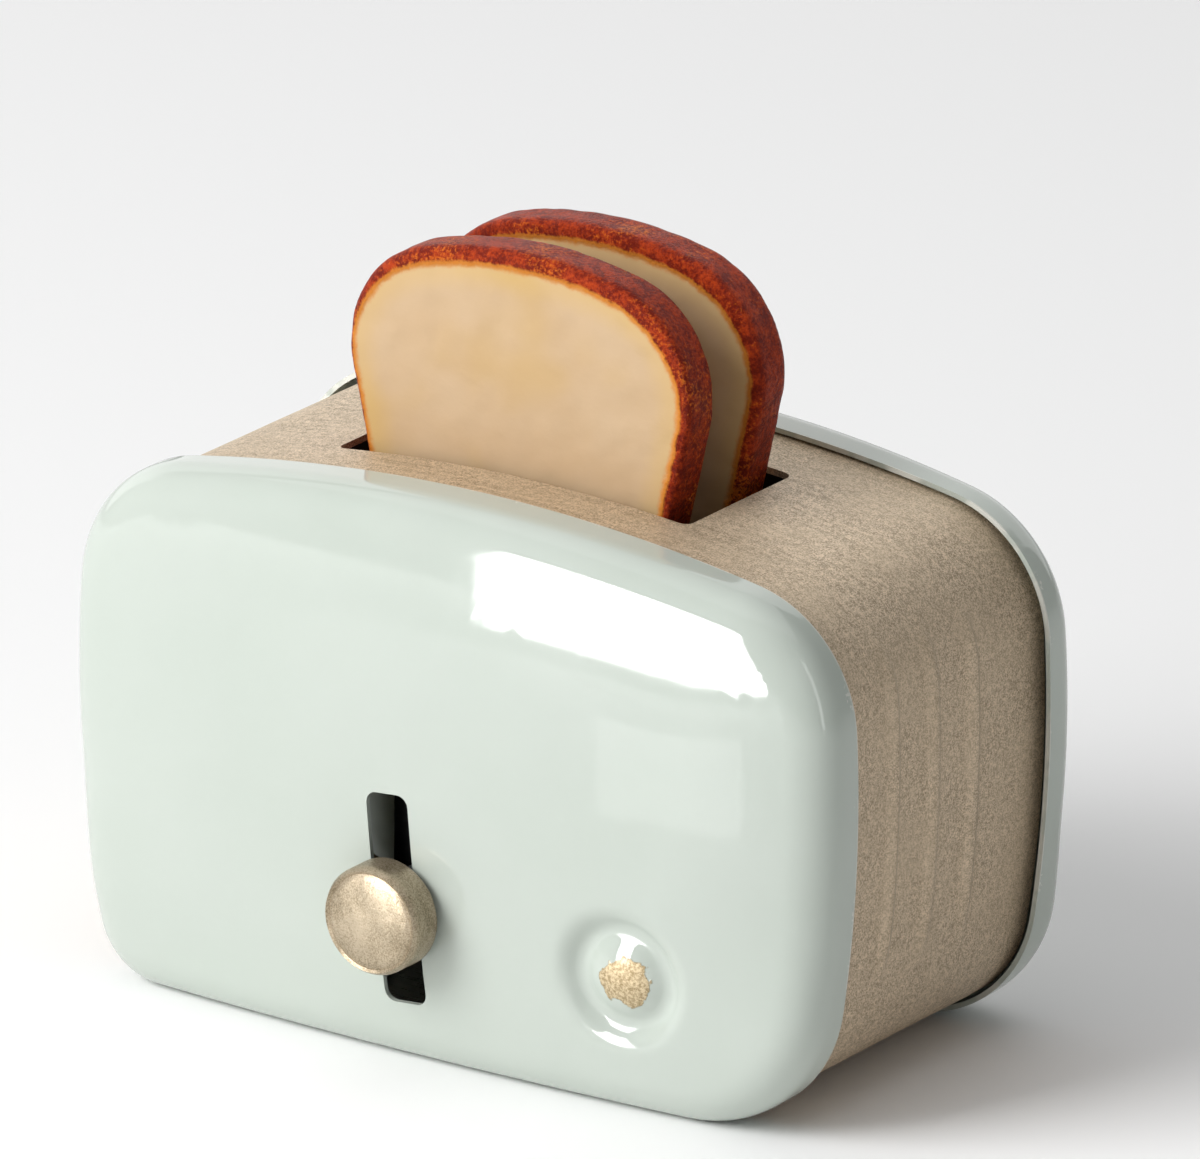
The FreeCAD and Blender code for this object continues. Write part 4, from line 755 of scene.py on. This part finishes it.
def addSlotLoop(frontY):
    bottom, length, width = slot["bottom"], slot["length"], slot["width"]
    middle = (slot["across"] * mm, frontY * mm, (bottom + length / 2) * mm)
    bpy.ops.mesh.primitive_plane_add(size=mm, location=middle, rotation=(math.pi / 2, 0, 0))
    bpy.ops.transform.resize(value=(width, 1, length), center_override=middle)
    bpy.ops.mesh.bevel(offset=slot["corner"] * mm, segments=slot["cornerSteps"], affect="VERTICES")
    bpy.ops.transform.rotate(
        value=math.radians(slot["lean"]), orient_axis="Y",
        center_override=(slot["across"] * mm, frontY * mm, slot["pivot"] * mm))
    bpy.ops.mesh.delete(type="ONLY_FACE")


def dialReach(point):
    # distance in mm from the dial's middle, seen from the front
    return math.hypot(point.x / mm - dial["across"], point.z / mm - dial["height"])


def addDialLoop(frontY):
    bpy.ops.mesh.primitive_circle_add(
        vertices=dial["points"], radius=dial["rim"] * mm, fill_type="NOTHING",
        location=(dial["across"] * mm, frontY * mm, dial["height"] * mm),
        rotation=(math.pi / 2, 0, 0))


def fillDial(piece, frontY):
    # rings of small faces inside the dial's loop, to be pressed into shape
    def onCircle(point):
        return near(point.y / mm, frontY) and abs(dialReach(point) - dial["rim"]) < dial["slack"]
    selectEdges(piece, lambda a, b: onCircle(a) and onCircle(b))
    bpy.ops.mesh.edge_face_add()
    for ring in range(round(dial["rim"] / dial["ring"]) - 1):
        bpy.ops.mesh.inset(thickness=dial["ring"] * mm, depth=0.0)


def cutAcross(first, last, normal):
    # parallel cuts, one cell apart, through all that is in view
    for step in range(first, last + 1):
        bpy.ops.mesh.select_all(action="SELECT")
        bpy.ops.mesh.bisect(plane_co=normal * (step * cover["cell"] * mm), plane_no=normal)


def gridFace(piece, frontY, hasDial):
    # cuts the flat face into small cells, so that it can be crowned
    selectFaces(piece, lambda middle, normal: near(middle.y / mm, frontY) and (
        not hasDial or dialReach(middle) > dial["rim"]))
    bpy.ops.mesh.hide(unselected=True)
    cutAcross(*cover["columns"], Vector((1, 0, 0)))
    cutAcross(*cover["rows"], Vector((0, 0, 1)))
    bpy.ops.mesh.reveal()


def makeCover(name, node, side, finish):
    # the outline drawn back to a skirt, folded over in rings, crowned and given its thickness
    right, left = casingArcs()
    rimY = casing["middle"] + side * cover["rim"]
    frontY = rimY + side * cover["depth"]
    piece = drawArched(rimY, right, left, 0, 0, cover["step"])
    skirt = (cover["depth"] - cover["edge"]) / cover["skirtRows"]
    for row in range(cover["skirtRows"]):
        extrude(0, side * skirt)
    bpy.ops.mesh.select_all(action="SELECT")
    bpy.ops.mesh.normals_make_consistent(inside=False)
    selectLevelFaces(piece, frontY - side * cover["edge"])
    across, out = 0.0, 0.0
    for ring in range(1, cover["rings"] + 1):
        turn = math.pi / 2 * ring / cover["rings"]
        nextAcross = cover["edgeAcross"] * (1 - abs(math.cos(turn)) ** cover["edgeSoft"])
        nextOut = cover["edge"] * math.sin(turn) ** cover["edgeSoft"]
        bpy.ops.mesh.inset(thickness=(nextAcross - across) * mm, depth=(nextOut - out) * mm)
        across, out = nextAcross, nextOut
    bpy.ops.mesh.delete(type="ONLY_FACE")
    selectFaces(piece, lambda middle, normal: near(middle.y / mm, rimY))
    bpy.ops.mesh.delete(type="ONLY_FACE")
    bpy.ops.mesh.select_all(action="DESELECT")
    bpy.ops.mesh.select_mode(type="VERT")
    if side < 0:
        addSlotLoop(frontY)
        bpy.ops.mesh.select_all(action="DESELECT")
        addDialLoop(frontY)
    selectLevelEdges(piece, frontY)
    bpy.ops.mesh.fill()
    if side < 0:
        fillDial(piece, frontY)
    gridFace(piece, frontY, side < 0)
    closeMesh()
    for point in piece.data.vertices:
        x, z = point.co.x / mm, point.co.z / mm
        out = side * (point.co.y / mm - rimY)
        if out < cover["still"]:
            continue
        share = min(1.0, out / (cover["skirtRows"] * skirt))
        out -= coverDrop(x, z, insideOf(x, z, right if x > 0 else left)) * share
        if side < 0:
            out += dialHeight(dialReach(point.co))
        point.co.y = (rimY + side * out) * mm
    openMesh(piece)
    bpy.ops.mesh.remove_doubles(threshold=cover["weld"] * mm)
    closeMesh()
    turnOutward(piece, lambda face: face.normal.y * side)
    useModifier(piece, "SOLIDIFY", thickness=cover["sheet"] * mm, offset=-1.0)
    smoothAs(piece, name, cover["smooth"])
    wear(piece, finish)
    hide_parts(node)
    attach(piece, "casing")
    return piece


frontCover = makeCover("frontCoverShell", "front_cover", -1, frontEnamel)
rearCover = makeCover("rearCoverShell", "rear_cover", 1, rearEnamel)
print("covers pressed:", len(frontCover.data.polygons), "and", len(rearCover.data.polygons),
      "faces")


# body band: one strip with beads on its sides and the bread opening

band = {"inset": 0.45, "narrow": 0.6, "rightFoot": 8.2, "sheet": 0.4, "lap": 1.0,
        "mouthLeft": -16.75, "mouthRight": 15.65, "row": 0.33, "step": 0.5, "weld": 0.002,
        "slack": 0.002, "reach": 0.3, "smooth": 45, "beads": (-4.7, -0.55, 3.5), "beadWidth": 1.5,
        "beadRise": 0.3, "beadLow": 7.4, "beadHigh": 28.8, "fade": 3.0, "wander": 0.03,
        "wanderSize": 5.0, "openingMiddle": -0.55, "openingLength": 24.4, "openingWidth": 10.8,
        "openingHeight": 12, "openingCorner": 0.6, "cornerSteps": 5}


def shrunk(arcs, inset):
    return [(centre, radius - inset, start, end) for centre, radius, start, end in arcs]


def outwardAt(x, z, arcs):
    # outward direction of the band at a point of its outline
    for centre, radius, start, end in arcs:
        spot = Vector((abs(x), z)) - centre
        turn = math.atan2(spot.y, spot.x)
        close = abs(spot.length - radius) < band["reach"]
        if close and start - band["slack"] <= turn <= end + band["slack"]:
            away = spot.normalized()
            return Vector((math.copysign(away.x, x), 0, away.y))
    return Vector((0, 0, -1))


def beadRise(y, z):
    # how far the beads stand out at a place on the band's side
    rise = 0.0
    for middle in band["beads"]:
        away = (y - middle) / (band["beadWidth"] / 2)
        if abs(away) < 1:
            rise = max(rise, (math.cos(away * math.pi) + 1) / 2)
    fade = softStep(z, band["beadLow"], band["fade"])
    fade *= 1 - softStep(z, band["beadHigh"] - band["fade"], band["fade"])
    return rise * fade * band["beadRise"]


def cutOpening(piece):
    pickNothing()
    middle = (band["openingMiddle"] * mm, casing["middle"] * mm, casing["height"] * mm)
    bpy.ops.mesh.primitive_cube_add(size=mm, location=middle)
    punch = bpy.context.view_layer.objects.active
    punch.scale = (band["openingLength"], band["openingWidth"], band["openingHeight"])
    applyPlace()
    selectEdges(punch, lambda a, b: not near(a.z / mm, b.z / mm))
    bpy.ops.mesh.bevel(offset=band["openingCorner"] * mm, segments=band["cornerSteps"],
                       affect="EDGES")
    closeMesh()
    useModifier(piece, "BOOLEAN", operation="DIFFERENCE", solver="EXACT", object=punch)
    pickOnly(punch)
    bpy.ops.object.delete()


def makeBand():
    # one line bent round the casing, drawn back in rows, beaded and given its thickness
    right, left = (shrunk(arcs, band["inset"])
                   for arcs in casingArcs(band["narrow"], band["rightFoot"]))
    length = 2 * (cover["rim"] + band["lap"])
    frontY = casing["middle"] - length / 2
    piece = startPoint(band["mouthRight"], frontY, band["inset"])
    extrude(right[0][0].x - band["mouthRight"], 0)
    spinArcs(frontY, right, False, 0, 0, band["step"])
    spinArcs(frontY, left, True, 0, 0, band["step"])
    extrude(band["mouthLeft"] + left[0][0].x, 0)
    bpy.ops.mesh.select_all(action="SELECT")
    bpy.ops.mesh.remove_doubles(threshold=band["weld"] * mm)
    rows = round(length / band["row"])
    for row in range(rows):
        extrude(0, length / rows)
    closeMesh()
    for point in piece.data.vertices:
        x, y, z = point.co.x / mm, point.co.y / mm - casing["middle"], point.co.z / mm
        away = outwardAt(x, z, right if x > 0 else left)
        if away.z > -squarely:
            lump = lumps.noise(Vector((x, y, z)) / band["wanderSize"])
            point.co += away * (beadRise(y, z) + band["wander"] * lump) * mm
    turnOutward(piece, lambda face: face.normal.x * face.center.x)
    useModifier(piece, "SOLIDIFY", thickness=band["sheet"] * mm, offset=-1.0, use_even_offset=True)
    cutOpening(piece)
    smoothAs(piece, "bodyBandStrip", band["smooth"])
    wear(piece, paint)
    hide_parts("body_band")
    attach(piece, "casing")
    return piece


bandPiece = makeBand()
print("band bent:", len(bandPiece.data.polygons), "faces")


# lever knob: a turned button under thick hand-laid paint

knob = {"across": -1.85, "height": 9.7, "radius": 3.27, "length": 2.5, "gap": 0.2, "points": 96,
        "frontRound": 0.8, "frontSteps": 6, "backRound": 0.15, "backSteps": 3, "rings": 8,
        "sideEdge": 1.2, "sideCuts": 6, "dome": 0.3, "domeReach": 0.2, "smooth": 50,
        "dents": 0.03, "dentSize": 1.1}


def makeKnob():
    frontY = casing["middle"] - cover["rim"] - cover["depth"] - knob["gap"] - knob["length"]
    backY = frontY + knob["length"]
    pickNothing()
    bpy.ops.mesh.primitive_cylinder_add(
        vertices=knob["points"], radius=knob["radius"] * mm, depth=knob["length"] * mm,
        end_fill_type="NGON", rotation=(math.pi / 2, 0, 0),
        location=(knob["across"] * mm, (frontY + knob["length"] / 2) * mm, knob["height"] * mm))
    piece = bpy.context.view_layer.objects.active
    applyPlace()
    for end, size, steps in ((frontY, knob["frontRound"], knob["frontSteps"]),
                             (backY, knob["backRound"], knob["backSteps"])):
        selectLevelEdges(piece, end)
        bpy.ops.mesh.bevel(offset=size * mm, segments=steps, affect="EDGES")
        closeMesh()
    ring = (knob["radius"] - knob["frontRound"]) / (knob["rings"] + 1)
    for end in (frontY, backY):
        selectLevelFaces(piece, end)
        for row in range(knob["rings"]):
            bpy.ops.mesh.inset(thickness=ring * mm, depth=0.0)
        closeMesh()
    selectEdges(piece, lambda a, b: abs(a.y - b.y) > knob["sideEdge"] * mm)
    bpy.ops.mesh.subdivide(number_cuts=knob["sideCuts"])
    closeMesh()
    for point in piece.data.vertices:
        spot = Vector((point.co.x / mm - knob["across"], 0, point.co.z / mm - knob["height"]))
        share = min(1.0, spot.length / knob["radius"])
        if point.co.y / mm < frontY + knob["domeReach"]:
            point.co.y += knob["dome"] * share ** 2 * mm
    dentSkin(piece, knob["dentSize"], knob["dents"])
    settle(piece, "leverKnobPainted", knob["smooth"])
    wear(piece, gold)
    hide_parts("lever_knob")
    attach(piece, "carriage")
    return piece


knobPiece = makeKnob()
print("knob turned:", len(knobPiece.data.polygons), "faces")


# the pieces that stay as they are get their finishes
finishOf = {
    "base_plate": tinplate, "front_brackets": tinplate, "rear_brackets": tinplate,
    # the well and the lever arm are near black: painted shade inside the lever slot
    "toast_well": slotShadeTin, "carriage_tray": tinplate, "carriage_arm": slotShadeTin,
    "base_screws": zinc, "guide_rod_left": drawnSteel, "guide_rod_right": drawnSteel,
    "bush_left": brass, "bush_right": brass, "friction_spring": springSteel,
    "lever_clip": springSteel, "spring_rivet": drawnSteel, "arm_rivets": drawnSteel,
    "lever_stem": drawnSteel, "lever_washer": zinc,
}
for node, finish in finishOf.items():
    wear(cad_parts[node], finish)
